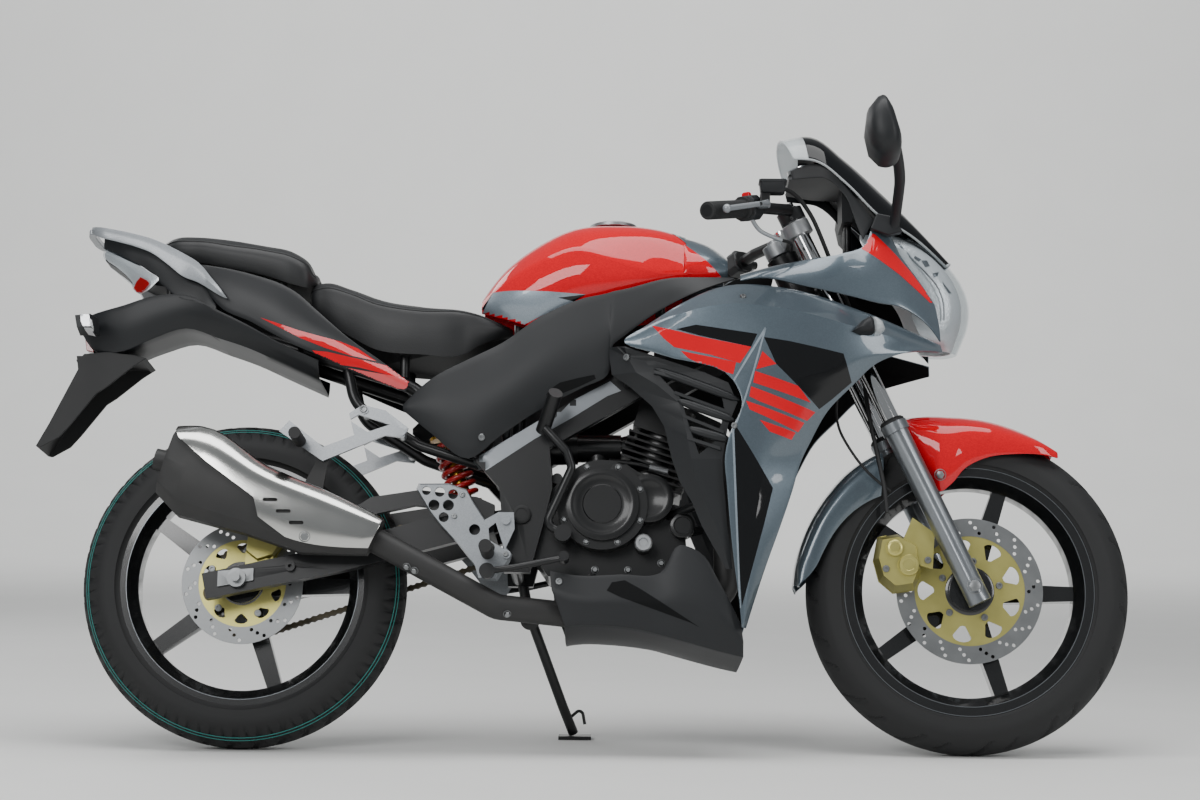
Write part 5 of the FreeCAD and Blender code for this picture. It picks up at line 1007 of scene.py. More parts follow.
def makeWindscreen():
    rows = []
    for middleX, middleZ, edgeX, edgeZ, half in glazing["screen"]:
        row = []
        for turn in (-90, -60, -30, 0, 30, 60, 90):
            side = math.sin(math.radians(turn))
            rise = math.cos(math.radians(turn))
            row.append((edgeX + (middleX - edgeX) * rise, half * side, edgeZ + (middleZ - edgeZ) * rise))
        rows.append(row)
    grid = smoothGrid(rows, 6)
    split = len(grid) - glazing["lipRows"]
    for part, finish, slot, section in (("windscreen", "smokedAcrylic", "dark_screen", grid[:split + 1]),
                                        ("windscreenLip", "clearAcrylic", "clear_lens", grid[split:])):
        mesh = gridMesh(part, section)
        weld(mesh)
        faceOutward(mesh, (1060, 0, 860))
        thicken(addPiece(part, mesh, "chassis", finish, ("windscreen",), 40), 3, 0.4)
    right, left = [row[0] for row in grid], [row[-1] for row in grid]
    edge = right + list(grid[-1])[1:-1] + left[::-1] + list(grid[0])[-2:0:-1]
    tube("windscreenRim", edge, glazing["rimMm"], "chassis", "clearAcrylic", True, 8)


makeWindscreen()


def makeHeadlight():
    outer, inner = [], []
    for (z, tip, flank, flankHalf, side, sideHalf), deep in zip(glazing["lamp"], glazing["bezelMm"]):
        back = side - glazing["backMm"]
        outer.append(bothEdges([(back, sideHalf - 6, z), (side, sideHalf, z), (flank, flankHalf, z)],
                               [(tip, 0, z)]))
        low = glazing["bezelMiddle"] + (z - glazing["bezelMiddle"]) * glazing["bezelShare"]
        inner.append(bothEdges([(back, sideHalf - 9, low), (side - 8, sideHalf - 6, low),
                                (flank - 8, flankHalf - 5, low)], [(tip - deep, 0, low)]))
    skin("headlightLens", outer, "chassis", "clearPolycarbonate", ("headlight",),
         (1200, 0, 850), 6, 2.5, both=False)
    skin("headlightBezel", inner, "chassis", "lampReflector", (), (1180, 0, 850), 5, 2,
         both=False)
    for side, word in bothSides:
        for index, line in enumerate(glazing["ribs"]):
            tube("headlightRib%d%s" % (index, word), smoothLine([(x, side * y, z) for x, y, z in line], 6),
                 glazing["ribMm"], "chassis", "anodisedGrey", sides=8)
    bowls = [(at, ahead, [(radius * share, height * share) for radius, height in glazing["bowl"]])
             for at, ahead, share in glazing["reflectors"]]
    lathed("headlightBowls", bowls, "chassis", "chromePlate", 40)
    bulbs = [(at, ahead, glazing["bulb"]) for at, ahead, share in glazing["reflectors"][:2]]
    lathed("headlightBulbs", bulbs, "chassis", "labelWhite", 24)


makeHeadlight()
print("tank, guards and glazing")


# seats: a crowned cushion with piped seams; each row is x, underside, half width, edge and crown
seats = {
    "rider": [(118, 796, 84, 842, 860), (140, 782, 95, 846, 864), (190, 752, 108, 832, 850),
              (238, 726, 118, 812, 832), (320, 716, 125, 798, 816), (400, 718, 118, 797, 808),
              (428, 738, 104, 793, 802), (480, 762, 70, 776, 784)],
    "pillion": [(-166, 904, 60, 928, 940), (-148, 899, 76, 934, 948), (-100, 894, 88, 934, 950),
                (-35, 880, 98, 924, 943), (30, 866, 104, 914, 932), (80, 850, 106, 902, 920),
                (108, 846, 96, 886, 900), (116, 852, 84, 872, 882)],
    "pipingMm": 1.6, "seamShare": 0.25, "foldMm": 0.66,
}


def cushionRing(x, floor, half, edge, crown):
    right = [(x, -half + 8, floor), (x, -half + 1, floor + (edge - floor) * 0.4),
             (x, -half, floor + (edge - floor) * 0.75), (x, -half + 5, edge - 1),
             (x, -half * 0.78, edge + (crown - edge) * 0.55), (x, -half * 0.4, crown - 1.2)]
    return bothEdges(right, [(x, 0, crown)])


def cushionEnd(row, away, share):  # a smaller ring just past the first or last one
    middle = (row[1] + row[4]) / 2
    return [(x + away, y * share, middle + (z - middle) * share) for x, y, z in cushionRing(*row)]


def makeCushion(name, node, table):
    first, last = table[0], table[-1]
    rows = ([cushionEnd(first, -7, 0.35), cushionEnd(first, -6, 0.8)] + [cushionRing(*row) for row in table]
            + [cushionEnd(last, 6, 0.8), cushionEnd(last, 7, 0.35)])
    grid = smoothGrid(rows, 7)
    wide = len(grid[0])
    for row in grid:
        for c, point in enumerate(row):  # soft folds on the top of the cushion, none at its edges
            share = c / (wide - 1)
            top = max(0, math.sin(math.pi * share)) ** 2
            wave = math.sin(point.x * 0.052 + math.sin(share * 19) * 1.3)
            wave *= math.sin(share * 14 + point.x * 0.021)
            point.z += seats["foldMm"] * wave * top
    mesh = closeEnds(gridMesh(name, grid))
    piece = addPiece(name, mesh, "chassis", "seatVinyl", (node,), 60)
    seam = round(wide * seats["seamShare"])
    for side, column in (("Right", seam), ("Left", wide - 1 - seam)):
        line = [row[column] for row in grid[10:-10]]
        tube(name + "Seam" + side, line, seats["pipingMm"], "chassis", "seatVinyl", sides=8)


makeCushion("riderSeat", "rider_seat", seats["rider"])
makeCushion("pillionSeat", "pillion_seat", seats["pillion"])
print("seats")


# closed bodies: rings of points along a line, smoothed along it and, where asked, round it
def closedLine(points, steps):
    count = len(points)
    line = smoothLine([points[-2], points[-1]] + list(points) + [points[0], points[1]], steps)
    return line[2 * steps:(2 + count) * steps]


def solidBody(name, rings, body, finish, slot, replaces=(), steps=4, around=0, bevelMm=0, smooth=40):
    if around:
        rings = [closedLine(ring, around) for ring in rings]
    columns = [smoothLine(column, steps) for column in zip(*rings)]
    mesh = closeEnds(gridMesh(name, [list(row) for row in zip(*columns)], True))
    piece = addPiece(name, mesh, body, finish, replaces, smooth)
    if bevelMm:
        roundEdges(piece, bevelMm, 30, 3)


def bothBodies(name, rings, *given, **more):
    solidBody(name + "Left", rings, *given, **more)
    solidBody(name + "Right", mirrorRows(rings), *given, **more)


# grab rails: a flat cast blade on each side, joined behind the seat
# A blade row is x, half width, top and underside; a bar row is x, y, top and underside.
rails = {"blade": [(-36, 113, 818, 815), (-50, 110, 838, 822), (-66, 108, 857, 832), (-92, 102, 887, 848),
                   (-120, 96, 905, 860), (-148, 93, 920, 882), (-182, 90, 935, 906), (-212, 87, 944, 918),
                   (-250, 82, 953, 929), (-288, 74, 960, 941), (-297, 66, 961, 948)],
         "bar": [(-297, 66, 958, 948), (-303, 40, 959, 948), (-304, 0, 959, 948), (-303, -40, 959, 948),
                 (-297, -66, 958, 948)]}


def makeGrabRails():
    rings = [[(x, half + 12, low), (x, half + 14, (high + low) / 2), (x, half + 11, high - 2),
              (x, half + 2, high), (x, half, low + 2)] for x, half, high, low in rails["blade"]]
    bothBodies("grabRail", rings, "chassis", "silverLacquer", "silver_alloy", ("grab_rails",), steps=4,
               bevelMm=1.6)
    rings = [[(x - 6, y, low), (x - 6, y, high), (x + 8, y, high), (x + 8, y, low)]
             for x, y, high, low in rails["bar"]]
    solidBody("grabRailBar", rings, "chassis", "silverLacquer", "silver_alloy", ("grab_rails",), 4, bevelMm=2)


makeGrabRails()

# tail lamp: a clear lens over a bright bowl, red at its lower end
tailLamp = {
    "rows": [[(-277, 38, 930), (-283, 34, 919), (-280, 26, 908)],
             [(-247, 57, 913), (-257, 54, 904), (-262, 44, 895)],
             [(-213, 68, 893), (-225, 66, 884), (-238, 54, 875)],
             [(-190, 77, 876), (-205, 73, 868), (-225, 60, 860)],
             [(-172, 82, 861), (-188, 79, 852), (-218, 64, 843)],
             [(-180, 80, 852), (-190, 78, 843), (-207, 72, 835)]],
    "red": [(-219, 844), (-212, 858), (-204, 866), (-190, 858), (-186, 852), (-198, 838), (-211, 829)],
    "inside": (-180, 0, 900),
}


def makeTailLamp():
    rows, inside = tailLamp["rows"], tailLamp["inside"]
    lens = skin("tailLens", rows, "chassis", "clearPolycarbonate", ("tail_light",), inside,
                5, 2)
    bowl = [[(x + 2.5, y - 4, z) for x, y, z in row] for row in rows]
    skin("tailBowl", bowl, "chassis", "lampReflector", (), inside, 4, 1.5)
    bothStickers("tailLampRed", [tailLamp["red"]], surfaceTree(*lens), "redAcrylic", "clear_lens", proud=0.8,
                 cellMm=3)


makeTailLamp()

# mirrors: a moulded shell with glass to the rear, on a stem from the nose; rings are y, share and shift in x
mirrorShape = {"rim": [(1134, 1139), (1148, 1143), (1163, 1129), (1180, 1092), (1189, 1059), (1183, 1037),
                       (1160, 1027), (1140, 1029)],
               "rings": [(255, 0.12, 7), (258, 0.42, 6.5), (266, 0.72, 5), (284, 0.93, 2), (318, 1, 0),
                         (352, 0.99, -1), (380, 0.9, -3), (398, 0.68, -4), (405, 0.4, -5), (407, 0.12, -5)],
               "stem": [(1190, 112, 962), (1192, 122, 980), (1193, 166, 1006), (1192, 232, 1036),
                        (1176, 300, 1064)],
               "stemMm": 10.5, "foot": [(1146, 960), (1158, 990), (1188, 984), (1206, 956), (1180, 948)],
               "footY": (98, 122), "middle": (1160, 1086), "glassAt": (1136.5, 332), "glassHalf": (62, 42)}


def makeMirrors():
    midX, midZ = mirrorShape["middle"]
    rings = []
    for out, share, shift in mirrorShape["rings"]:
        rings.append([(midX + shift + (x - midX) * 0.8 * share, out, midZ + (z - midZ) * share)
                      for x, z in mirrorShape["rim"]])
    bothBodies("mirrorShell", rings, "chassis", "mouldedAbs", "black_plastic", ("mirrors",), steps=4,
               around=4)
    glassX, glassY = mirrorShape["glassAt"]
    halfY, halfZ = mirrorShape["glassHalf"]
    for side, word in bothSides:
        glass = [[(glassX - bulge, side * (glassY + halfY * share * math.cos(turn * math.pi / 12)),
                   midZ + halfZ * share * math.sin(turn * math.pi / 12)) for turn in range(24)]
                 for share, bulge in ((0.94, 1.2), (0.02, 0))]
        mesh = gridMesh("mirrorGlass" + word, glass, True)
        faceOutward(mesh, (1300, side * glassY, midZ))
        addPiece("mirrorGlass" + word, mesh, "chassis", "chromePlate", (), 30)
        tube("mirrorStem" + word, [(x, side * y, z) for x, y, z in mirrorShape["stem"]],
             mirrorShape["stemMm"], "chassis", "mouldedAbs")
        foot = [[(x, side * y, z) for x, z in mirrorShape["foot"]] for y in mirrorShape["footY"]]
        solidBody("mirrorFoot" + word, foot, "chassis", "mouldedAbs", "black_plastic", ("mirrors",), 1,
                  bevelMm=3)


makeMirrors()

# brake discs on the right of each wheel: a drilled ring on a slotted carrier, with a hub face and screws
wheels = {
    "front": {"axle": frontAxle, "body": "front_wheel", "disc": "front_disc", "outerMm": 134, "borderMm": 101,
              "hubMm": 45, "boltMm": 55, "slots": 9, "drillings": 18},
    "rear": {"axle": rearAxle, "body": "rear_wheel", "disc": "rear_disc", "outerMm": 111, "borderMm": 80,
             "hubMm": 40, "boltMm": 62, "slots": 10, "drillings": 14},
    "bolts": 5, "discY": 48, "drillMm": 3.5, "slotSteps": 12,
}


def flatRing(name, spec, inner, outer, halfWall, finish, replaces=()):
    near, far = wheels["discY"] - halfWall, wheels["discY"] + halfWall
    outline = [(inner, near), (outer, near), (outer, far), (inner, far), (inner, near)]
    ring = lathed(name, [(spec["axle"], (0, -1, 0), outline)], spec["body"], finish, 120, 35, replaces)
    weld(ring.data)
    return ring


def discHoles(spec):  # three rows of drillings, each row turned on from the one inside it
    holes = []
    for index in range(spec["drillings"]):
        for share, turn in ((0.22, 0), (0.5, 0.22), (0.78, 0.44)):
            angle = 2 * math.pi * (index + turn) / spec["drillings"]
            radius = spec["borderMm"] + (spec["outerMm"] - spec["borderMm"]) * share
            x = spec["axle"][0] + radius * math.cos(angle)
            z = spec["axle"][2] + radius * math.sin(angle)
            holes.append([(x + wheels["drillMm"] * math.cos(k * math.pi / 5),
                           z + wheels["drillMm"] * math.sin(k * math.pi / 5)) for k in range(10)])
    return holes


def carrierSlots(spec):  # keyhole openings, narrow at the hub and round at the ring
    low, high = spec["hubMm"] + spec["borderMm"] * 0.2, spec["borderMm"] - 6
    wide = math.pi / spec["slots"] * high * 0.52
    outline = [(low, -wide * 0.15), (low + 2, -wide * 0.4)]
    for k in range(wheels["slotSteps"] + 1):
        angle = -math.pi / 2 + math.pi * k / wheels["slotSteps"]
        outline.append((high - wide * 0.6 + wide * 0.6 * math.cos(angle), wide * math.sin(angle)))
    outline.append((low, wide * 0.15))
    slots = []
    for index in range(spec["slots"]):
        turn = 2 * math.pi * (index + 0.5) / spec["slots"]
        slots.append([(spec["axle"][0] + a * math.cos(turn) - b * math.sin(turn),
                       spec["axle"][2] + a * math.sin(turn) + b * math.cos(turn)) for a, b in outline])
    return slots


def makeDisc(word):
    spec = wheels[word]
    deep, hub = wheels["discY"], spec["hubMm"]
    ring = flatRing(word + "BrakeRing", spec, spec["borderMm"], spec["outerMm"], 2.2, "groundSteel",
                    (spec["disc"],))
    cutThrough(ring, discHoles(spec), -deep - 20, -deep + 20)
    carrier = flatRing(word + "DiscCarrier", spec, hub - 6, spec["borderMm"] + 1.5, 1.5, "goldChromate")
    cutThrough(carrier, carrierSlots(spec), -deep - 20, -deep + 20)
    face = [(20, deep - 1), (hub, deep - 1), (hub, deep + 2.4), (hub - 3, deep + 4), (24, deep + 4),
            (20, deep + 1)]
    lathed(word + "HubFace", [(spec["axle"], (0, -1, 0), face)], spec["body"], "glossBlackAlloy",
           72)
    bolts = []
    for index in range(wheels["bolts"]):
        angle = 2 * math.pi * (index + 0.15) / wheels["bolts"]
        bolts.append(((spec["axle"][0] + spec["boltMm"] * math.cos(angle), -deep - 1.6,
                       spec["axle"][2] + spec["boltMm"] * math.sin(angle)), (0, -1, 0), 6.5, "socket"))
    addFasteners(word + "DiscScrews", bolts, spec["body"])


makeDisc("front")
makeDisc("rear")
print("rails, lamp, mirrors and discs")

# shock absorber's spring, wound on the line between its two eyes
shock = {"low": Vector((412, 0, 430.5)), "high": Vector((352, 0, 622)), "start": 35.3, "length": 117.4,
         "radius": 25, "wire": 5.2, "turns": 7, "stepsPerTurn": 28, "wireSides": 12}


def makeSpring():
    along = (shock["high"] - shock["low"]).normalized()
    side = Vector((0, 1, 0))
    ahead = along.cross(side)
    base = shock["low"] + along * shock["start"]
    steps = shock["turns"] * shock["stepsPerTurn"]
    wire = [2 * math.pi * k / shock["wireSides"] for k in range(shock["wireSides"])]
    grid = []
    for step in range(steps + 1):
        angle = 2 * math.pi * step / shock["stepsPerTurn"]
        out = side * math.cos(angle) + ahead * math.sin(angle)
        middle = base + along * (shock["length"] * step / steps) + out * shock["radius"]
        grid.append([middle + (out * math.cos(turn) + along * math.sin(turn)) * shock["wire"]
                     for turn in wire])
    mesh = gridMesh("shockCoil", grid, True)
    addPiece("shockCoil", mesh, "chassis", "springRed", ("shock_spring",), 60)


makeSpring()

# drive chain: plates and rollers of one pitch along the tangents and arcs of the two sprockets
chain = {"pitch": 12.7, "rearTeeth": 42, "frontTeeth": 14, "line": 80, "sprocket": (589, 0, 436),
         "plateHalf": 5.5, "waist": 0.62, "plateWall": 1.6, "inner": 4.2, "roller": 4.2}


def chainPath():  # roller centres along the closed path
    rearRadius = chain["pitch"] / (2 * math.sin(math.pi / chain["rearTeeth"]))
    frontRadius = chain["pitch"] / (2 * math.sin(math.pi / chain["frontTeeth"]))
    rear, front = Vector(rearAxle), Vector(chain["sprocket"])
    across = front - rear
    slope = math.atan2(across.z, across.x)
    taper = math.asin((rearRadius - frontRadius) / across.length)
    straight = across.length * math.cos(taper)
    rearArc = rearRadius * (math.pi + 2 * taper)
    frontArc = frontRadius * (math.pi - 2 * taper)
    total = 2 * straight + rearArc + frontArc
    count = 2 * round(total / chain["pitch"] / 2)

    def out(angle):
        return Vector((math.cos(angle), 0, math.sin(angle)))

    low, high = out(slope - math.pi / 2 + taper), out(slope + math.pi / 2 - taper)
    stations = []
    for index in range(count):
        run = total * index / count
        if run < rearArc:
            stations.append(rear + out(slope + math.pi / 2 - taper + run / rearRadius) * rearRadius)
        elif run < rearArc + straight:
            share = (run - rearArc) / straight
            stations.append((rear + low * rearRadius).lerp(front + low * frontRadius, share))
        elif run < rearArc + straight + frontArc:
            turn = (run - rearArc - straight) / frontRadius
            stations.append(front + out(slope - math.pi / 2 + taper + turn) * frontRadius)
        else:
            share = (run - rearArc - straight - frontArc) / straight
            stations.append((front + high * frontRadius).lerp(rear + high * rearRadius, share))
    return stations


def linkOutline(here, ahead):  # a plate round two rollers, waisted between them
    along = (ahead - here).normalized()
    up = Vector((0, 1, 0)).cross(along)
    half, middle = chain["plateHalf"], (here + ahead) / 2
    outline = []
    for end, start, side in ((here, 0.5, -1), (ahead, -0.5, 1)):
        for k in range(9):
            angle = math.pi * (start + k / 8)
            outline.append(end + (along * math.cos(angle) + up * math.sin(angle)) * half)
        outline.append(middle + up * half * chain["waist"] * side)
    return outline


def makeChain():
    stations = chainPath()
    wall = chain["plateWall"]
    width = chain["inner"] + 2 * wall + 1.2
    pin, roller, end = 1.9, chain["roller"], 2.6
    profile = [(0, 0), (pin, 0), (pin, end), (roller, end), (roller, 2 * width - end), (pin, 2 * width - end),
               (pin, 2 * width), (0, 2 * width)]
    bm = bmesh.new()
    for index, here in enumerate(stations):
        outline = linkOutline(here, stations[(index + 1) % len(stations)])
        offset = chain["inner"] if index % 2 else chain["inner"] + wall + 0.3
        for side in (-1, 1):
            start = chain["line"] + side * offset
            near, far = [[bm.verts.new(place(p.x, y, p.z)) for p in outline]
                         for y in (start, start + side * wall)]
            for k in range(len(outline)):
                n = (k + 1) % len(outline)
                bm.faces.new((near[k], near[n], far[n], far[k]))
            bm.faces.new(near)
            bm.faces.new(far)
        lathe(bm, (here.x, chain["line"] - width, here.z), (0, 1, 0), profile, 10)
    bmesh.ops.recalc_face_normals(bm, faces=bm.faces)
    mesh = newMesh(bm, "driveChain")
    addPiece("driveChain", mesh, "chassis", "oiledChain", ("drive_chain",), 30)


makeChain()
print("spring and chain")

# printed stripes, and pale strips along the fairing fin's creases that are painted highlights: outlines in x
# and z, laid on the panels; no words
stripes = {
    "fairingRed": [
        [(744, 755), (783, 746), (830, 734), (922, 715), (902, 685), (848, 701), (784, 715), (765, 731)],
        [(796, 708), (848, 697), (895, 687), (890, 665), (848, 677), (823, 688), (809, 695)],
        [(942, 707), (967, 684), (931, 674)], [(929, 671), (1007, 646), (1030, 618), (926, 650)],
        [(922, 643), (1039, 602), (1024, 586), (938, 616), (919, 625)],
        [(913, 617), (1019, 582), (1008, 565), (920, 601)],
        [(938, 583), (1003, 564), (996, 551), (956, 563)]],
    "fairingBlack": [
        [(787, 748), (823, 756), (933, 739), (922, 715), (830, 736)],
        [(945, 733), (992, 726), (1089, 707), (1105, 658), (1071, 628), (1046, 608), (1007, 646), (967, 684)],
        [(895, 572), (925, 525), (963, 464), (947, 398), (922, 304), (908, 251), (897, 405), (890, 550)]],
    "noseRed": [[(1151, 954), (1130, 923), (1200, 875), (1258, 828), (1270, 830), (1248, 853), (1219, 890),
                 (1182, 927), (1156, 952)]],
    "tailRed": [[(26, 782), (100, 757), (174, 737), (207, 724), (242, 700), (193, 711), (148, 725),
                 (100, 744)],
                [(123, 721), (152, 718), (285, 686), (314, 664), (267, 674), (211, 689), (149, 699)]],
    "tailPink": [[(145, 703), (193, 688), (267, 674), (313, 665), (314, 660), (293, 649), (230, 659),
                  (197, 668)]],
    "tankPale": [[(451, 840), (623, 827), (601, 815), (503, 773), (481, 777), (430, 804)]],
    "tankBlack": [[(572, 821), (623, 827), (601, 815)], [(430, 804), (451, 840), (453, 844), (424, 806)]],
    "tankNose": [[(803, 928), (841, 897), (874, 866), (803, 862)]],
    "tankCorner": [[(779, 958), (793, 957), (807, 946), (807, 930)]],
    # pale strips along the creases of the fairing fin: painted highlights
    "finCreaseHighlight": [[(947, 752), (890, 655), (892, 652), (949, 747)],
                [(947, 752), (925, 672), (908, 617), (891, 566), (894, 566), (911, 615), (928, 670),
                 (949, 748)],
                [(888, 566), (905, 212), (908, 212), (892, 566)]],
}


def makeStripes():
    fairing = surfaceTree(*fairingPanels, *ventPanels)
    nose = surfaceTree(*nosePanels)
    tail = surfaceTree(*tailPanels)
    tank = surfaceTree(*fuelTank)
    cover = surfaceTree(*fuelTank, *tankCover)
    for name, tree, finish, slot, more in (
            ("fairingRed", fairing, "stickerRed", "red_paint", {"cellMm": 2, "steep": 0.7}),
            ("fairingBlack", fairing, "stickerBlack", "black_plastic", {"proud": 0.25, "steep": 0.7}),
            ("noseRed", nose, "stickerRed", "red_paint", {}),
            ("tailRed", tail, "stickerRed", "red_paint", {"cellMm": 2}),
            ("tailPink", tail, "stickerPink", "red_paint", {"proud": 0.25, "cellMm": 2}),
            ("tankPale", tank, "lacquerPale", "grey_paint", {"proud": 0.7, "cellMm": 5}),
            ("tankBlack", tank, "stickerBlack", "black_plastic", {"proud": 0.9, "cellMm": 5}),
            ("tankNose", cover, "lacquerRed", "red_paint", {"proud": 0.8}),
            ("tankCorner", cover, "lacquerGrey", "grey_paint", {"proud": 0.8}),
            # the fin's pale strips are painted highlights along its creases
            ("finCreaseHighlight", fairing, "lacquerPale", "grey_paint", {"proud": 0.5})):
        bothStickers(name, stripes[name], tree, finish, slot, **more)


makeStripes()
print("stripes")

# fasteners on both sides: x, z, head radius, kind, and the pieces that they lie on
screws = [
    (437, 558, 6.5, "socket", "side"), (699, 701, 6.5, "socket", "vent"), (892, 572, 6, "socket", "fairing"),
    (899, 268, 5, "socket", "fairing"), (908, 811, 5.5, "socket", "fairing"),
    (581, 295, 6.5, "socket", "belly"), (1275, 508, 8, "hex", "guard"), (881, 848, 5, "socket", "fairing"),
]


def makeScrews():
    trees = {"side": surfaceTree(*sidePanels), "vent": surfaceTree(*ventPanels, *fairingPanels),
             "fairing": surfaceTree(*fairingPanels, *nosePanels, *sidePanels),
             "belly": surfaceTree(*bellyPan), "guard": surfaceTree(bpy.data.objects["frontMudguard"])}
    tables = {"chassis": [], "guard": []}
    for x, z, radius, kind, on in screws:
        table = tables["guard" if on == "guard" else "chassis"]
        table += [(at, None, radius, kind) for at in standsOn(trees[on], [(x, z)])]
    addFasteners("chassisScrews", tables["chassis"], "chassis")
    addFasteners("guardScrews", tables["guard"], "front_end")


makeScrews()

# handlebars: ribbed grips, a switch pod with its key on each side, and bright lever blades
bars = {"inner": Vector((912, 226, 968)), "outer": Vector((838, 332, 936)), "gripMm": 118, "ribs": 26,
        "ribPitch": 4.2, "blade": ((30, 28, 3), (-44, 114, -30)), "bladeMm": 8.5,
        "pod": [(-22, -12), (-14, -22), (12, -22), (21, -14), (21, 14), (13, 23), (-14, 23), (-22, 14)],
        "key": [(-9, -5), (7, -5), (7, 5), (-9, 5)], "keyRun": -24}


def barAxes():  # along the left grip, to the front and up
    along = (bars["outer"] - bars["inner"]).normalized()
    ahead = Vector((0, 0, 1)).cross(along).normalized() * -1
    up = along.cross(ahead).normalized()
    return along, ahead, up if up.z > 0 else -up


def gripProfile():
    profile = [(10.6, -6), (21.5, -6), (22, -3), (21.5, 0), (17.2, 0.6)]
    for index in range(bars["ribs"]):
        height = 3 + bars["ribPitch"] * index
        profile += [(16.5, height), (16.5, height + 2.4), (15.6, height + 2.9), (15.6, height + 3.8)]
    return profile + [(16.5, 115), (15.5, 117.4), (10.6, 118)]


def makeGrips():
    along, ahead, up = barAxes()
    start = bars["outer"] - along * bars["gripMm"]
    keyAt = start + along * bars["keyRun"]
    grips = []
    for side, word in bothSides:
        flip = Vector((1, side, 1))
        grips.append((start * flip, along * flip, gripProfile()))
        rings = [[(start + along * run + (ahead * a + up * b) * share) * flip for a, b in bars["pod"]]
                 for run, share in ((-42, 0.86), (-39, 1), (-12, 1), (-9, 0.86))]
        solidBody("switchPod" + word, rings, "front_end", "mouldedAbs", "black_plastic", (), 1, bevelMm=1.5)
        rings = [[(keyAt + up * height + (ahead * a + along * b) * share) * flip for a, b in bars["key"]]
                 for height, share in ((22, 1), (28, 0.9), (30, 0.6))]
        solidBody("switchKey" + word, rings, "front_end", "stickerRed" if side < 0 else "softRubber",
                  "black_plastic", (), 1, bevelMm=0.8)
    lathed("barGrips", grips, "front_end", "softRubber", 40, 40, ("grips",))


def paintLevers():  # the faces of the handlebars round the lever blades are silver
    along = barAxes()[0]
    block = bars["outer"] - along * (bars["gripMm"] + 25)
    blades = []
    for side in (-1, 1):
        flip = Vector((1, side, 1))
        blades.append([place(*((block + Vector(end)) * flip)) for end in bars["blade"]])
    mesh = solidPiece("handlebars").data
    mesh.materials.append(materials["silverLacquer"])
    for face in mesh.polygons:
        for low, high in blades:
            way = high - low
            share = min(1, max(0, (face.center - low).dot(way) / way.dot(way)))
            if (low + way * share - face.center).length * 1000 < bars["bladeMm"] + 3:
                face.material_index = len(mesh.materials) - 1


makeGrips()
paintLevers()

# brake fluid cup on the right bar, on its neck, with a screwed lid; rings are height and share
cup = {"at": (960, -226, 1008), "half": (24, 17, 12), "neckLow": 975, "neckBack": 14, "neckHalf": 9,
       "outline": [(-1, -0.8), (-0.8, -1), (0.8, -1), (1, -0.8), (1, 0.8), (0.8, 1), (-0.8, 1), (-1, 0.8)],
       "rings": [(-12, 0.8), (-9, 0.92), (7, 1), (7.2, 1.06), (12, 1.04)], "screws": [(-17, 11), (17, -11)]}


def makeFluidCup():
    x, y, z = cup["at"]
    halfX, halfY, halfZ = cup["half"]
    rings = [[(x + a * halfX * share, y + b * halfY * share, z + height) for a, b in cup["outline"]]
             for height, share in cup["rings"]]
    solidBody("fluidCup", rings, "front_end", "mouldedAbs", "black_plastic", (), 1, bevelMm=1.2)
    neckX, half = x - cup["neckBack"], cup["neckHalf"]
    neck = [[(neckX + a * half, y + b * half, height) for a, b in ((-1, -1), (1, -1), (1, 1), (-1, 1))]
            for height in (z - halfZ + 2, cup["neckLow"])]
    solidBody("fluidCupNeck", neck, "front_end", "castBlack", "black_steel", (), 1, bevelMm=2)
    addFasteners("fluidCupScrews", [((x + a, y + b, z + halfZ - 1), (0, 0, 1), 2.6, "socket")
                                    for a, b in cup["screws"]], "front_end")


makeFluidCup()

# cables of the front end: points, radius in mm, finish and slot
cables = {
    "throttleElbow": ([(922, -226, 950), (931, -217, 934), (950, -208, 924), (978, -192, 918)], 4,
                      "silverLacquer", "silver_alloy"),
    "throttleCable": ([(974, -194, 918.5), (990, -178, 920), (1000, -150, 922), (1000, -128, 916)], 3,
                      "softRubber", "black_rubber"),
    "sensorCable": ([(1094, -74, 700), (1084, -82, 640), (1086, -90, 594), (1104, -95, 557), (1132, -95, 517),
                     (1163, -95, 488), (1183, -94, 474)], 2.6, "softRubber", "black_rubber"),
}
for name, (points, radiusMm, finish, slot) in cables.items():
    tube(name, points, radiusMm, "front_end", finish)

# rubber seals where the fork tubes enter the sliders
seals = {"run": 333, "tubeY": 98, "profile": [(16.8, -0.5), (23, -0.5), (23.5, 4), (20, 8), (16.8, 9)]}


def makeSeals():
    turns = []
    for side in (-1, 1):
        at = Vector(forkPoint(seals["run"], side * seals["tubeY"]))
        above = Vector(forkPoint(seals["run"] + 7, side * seals["tubeY"]))
        turns.append((at, above - at, seals["profile"]))
    lathed("dustSeals", turns, "front_end", "softRubber", 36)


makeSeals()
print("bars")

# engine's right side: round covers, filler knob, screws
engine = {
    "rings": [((657, -144, 438), [(66, -1), (66, 1.2), (58, 3), (52, 3), (50, 1.4), (36, 1.4), (34, 3.4),
                                  (0, 3.4)]),
              ((803, -122, 403), [(22.3, -2), (22.3, 2), (19, 3.2), (16, 3.2), (15, 1.6), (0, 1.6)]),
              ((742, -128, 452), [(44, -1), (44, 1), (38, 2.6), (30, 2.6), (28, 1.2), (0, 1.2)])],
    "knob": ((732, -134, 369), [(16.4, -3), (16.4, 4), (14, 7), (9, 7), (8, 4.4), (0, 4.4)]),
    "caseScrews": [(585, -92, 344), (645, -92, 325), (705, -92, 325), (765, -92, 338), (790, -92, 430),
                   (560, -92, 440)],
    "cover": (657, -136, 438), "coverScrews": 8, "coverRadius": 74, "kickNut": (587, -148, 381),
}


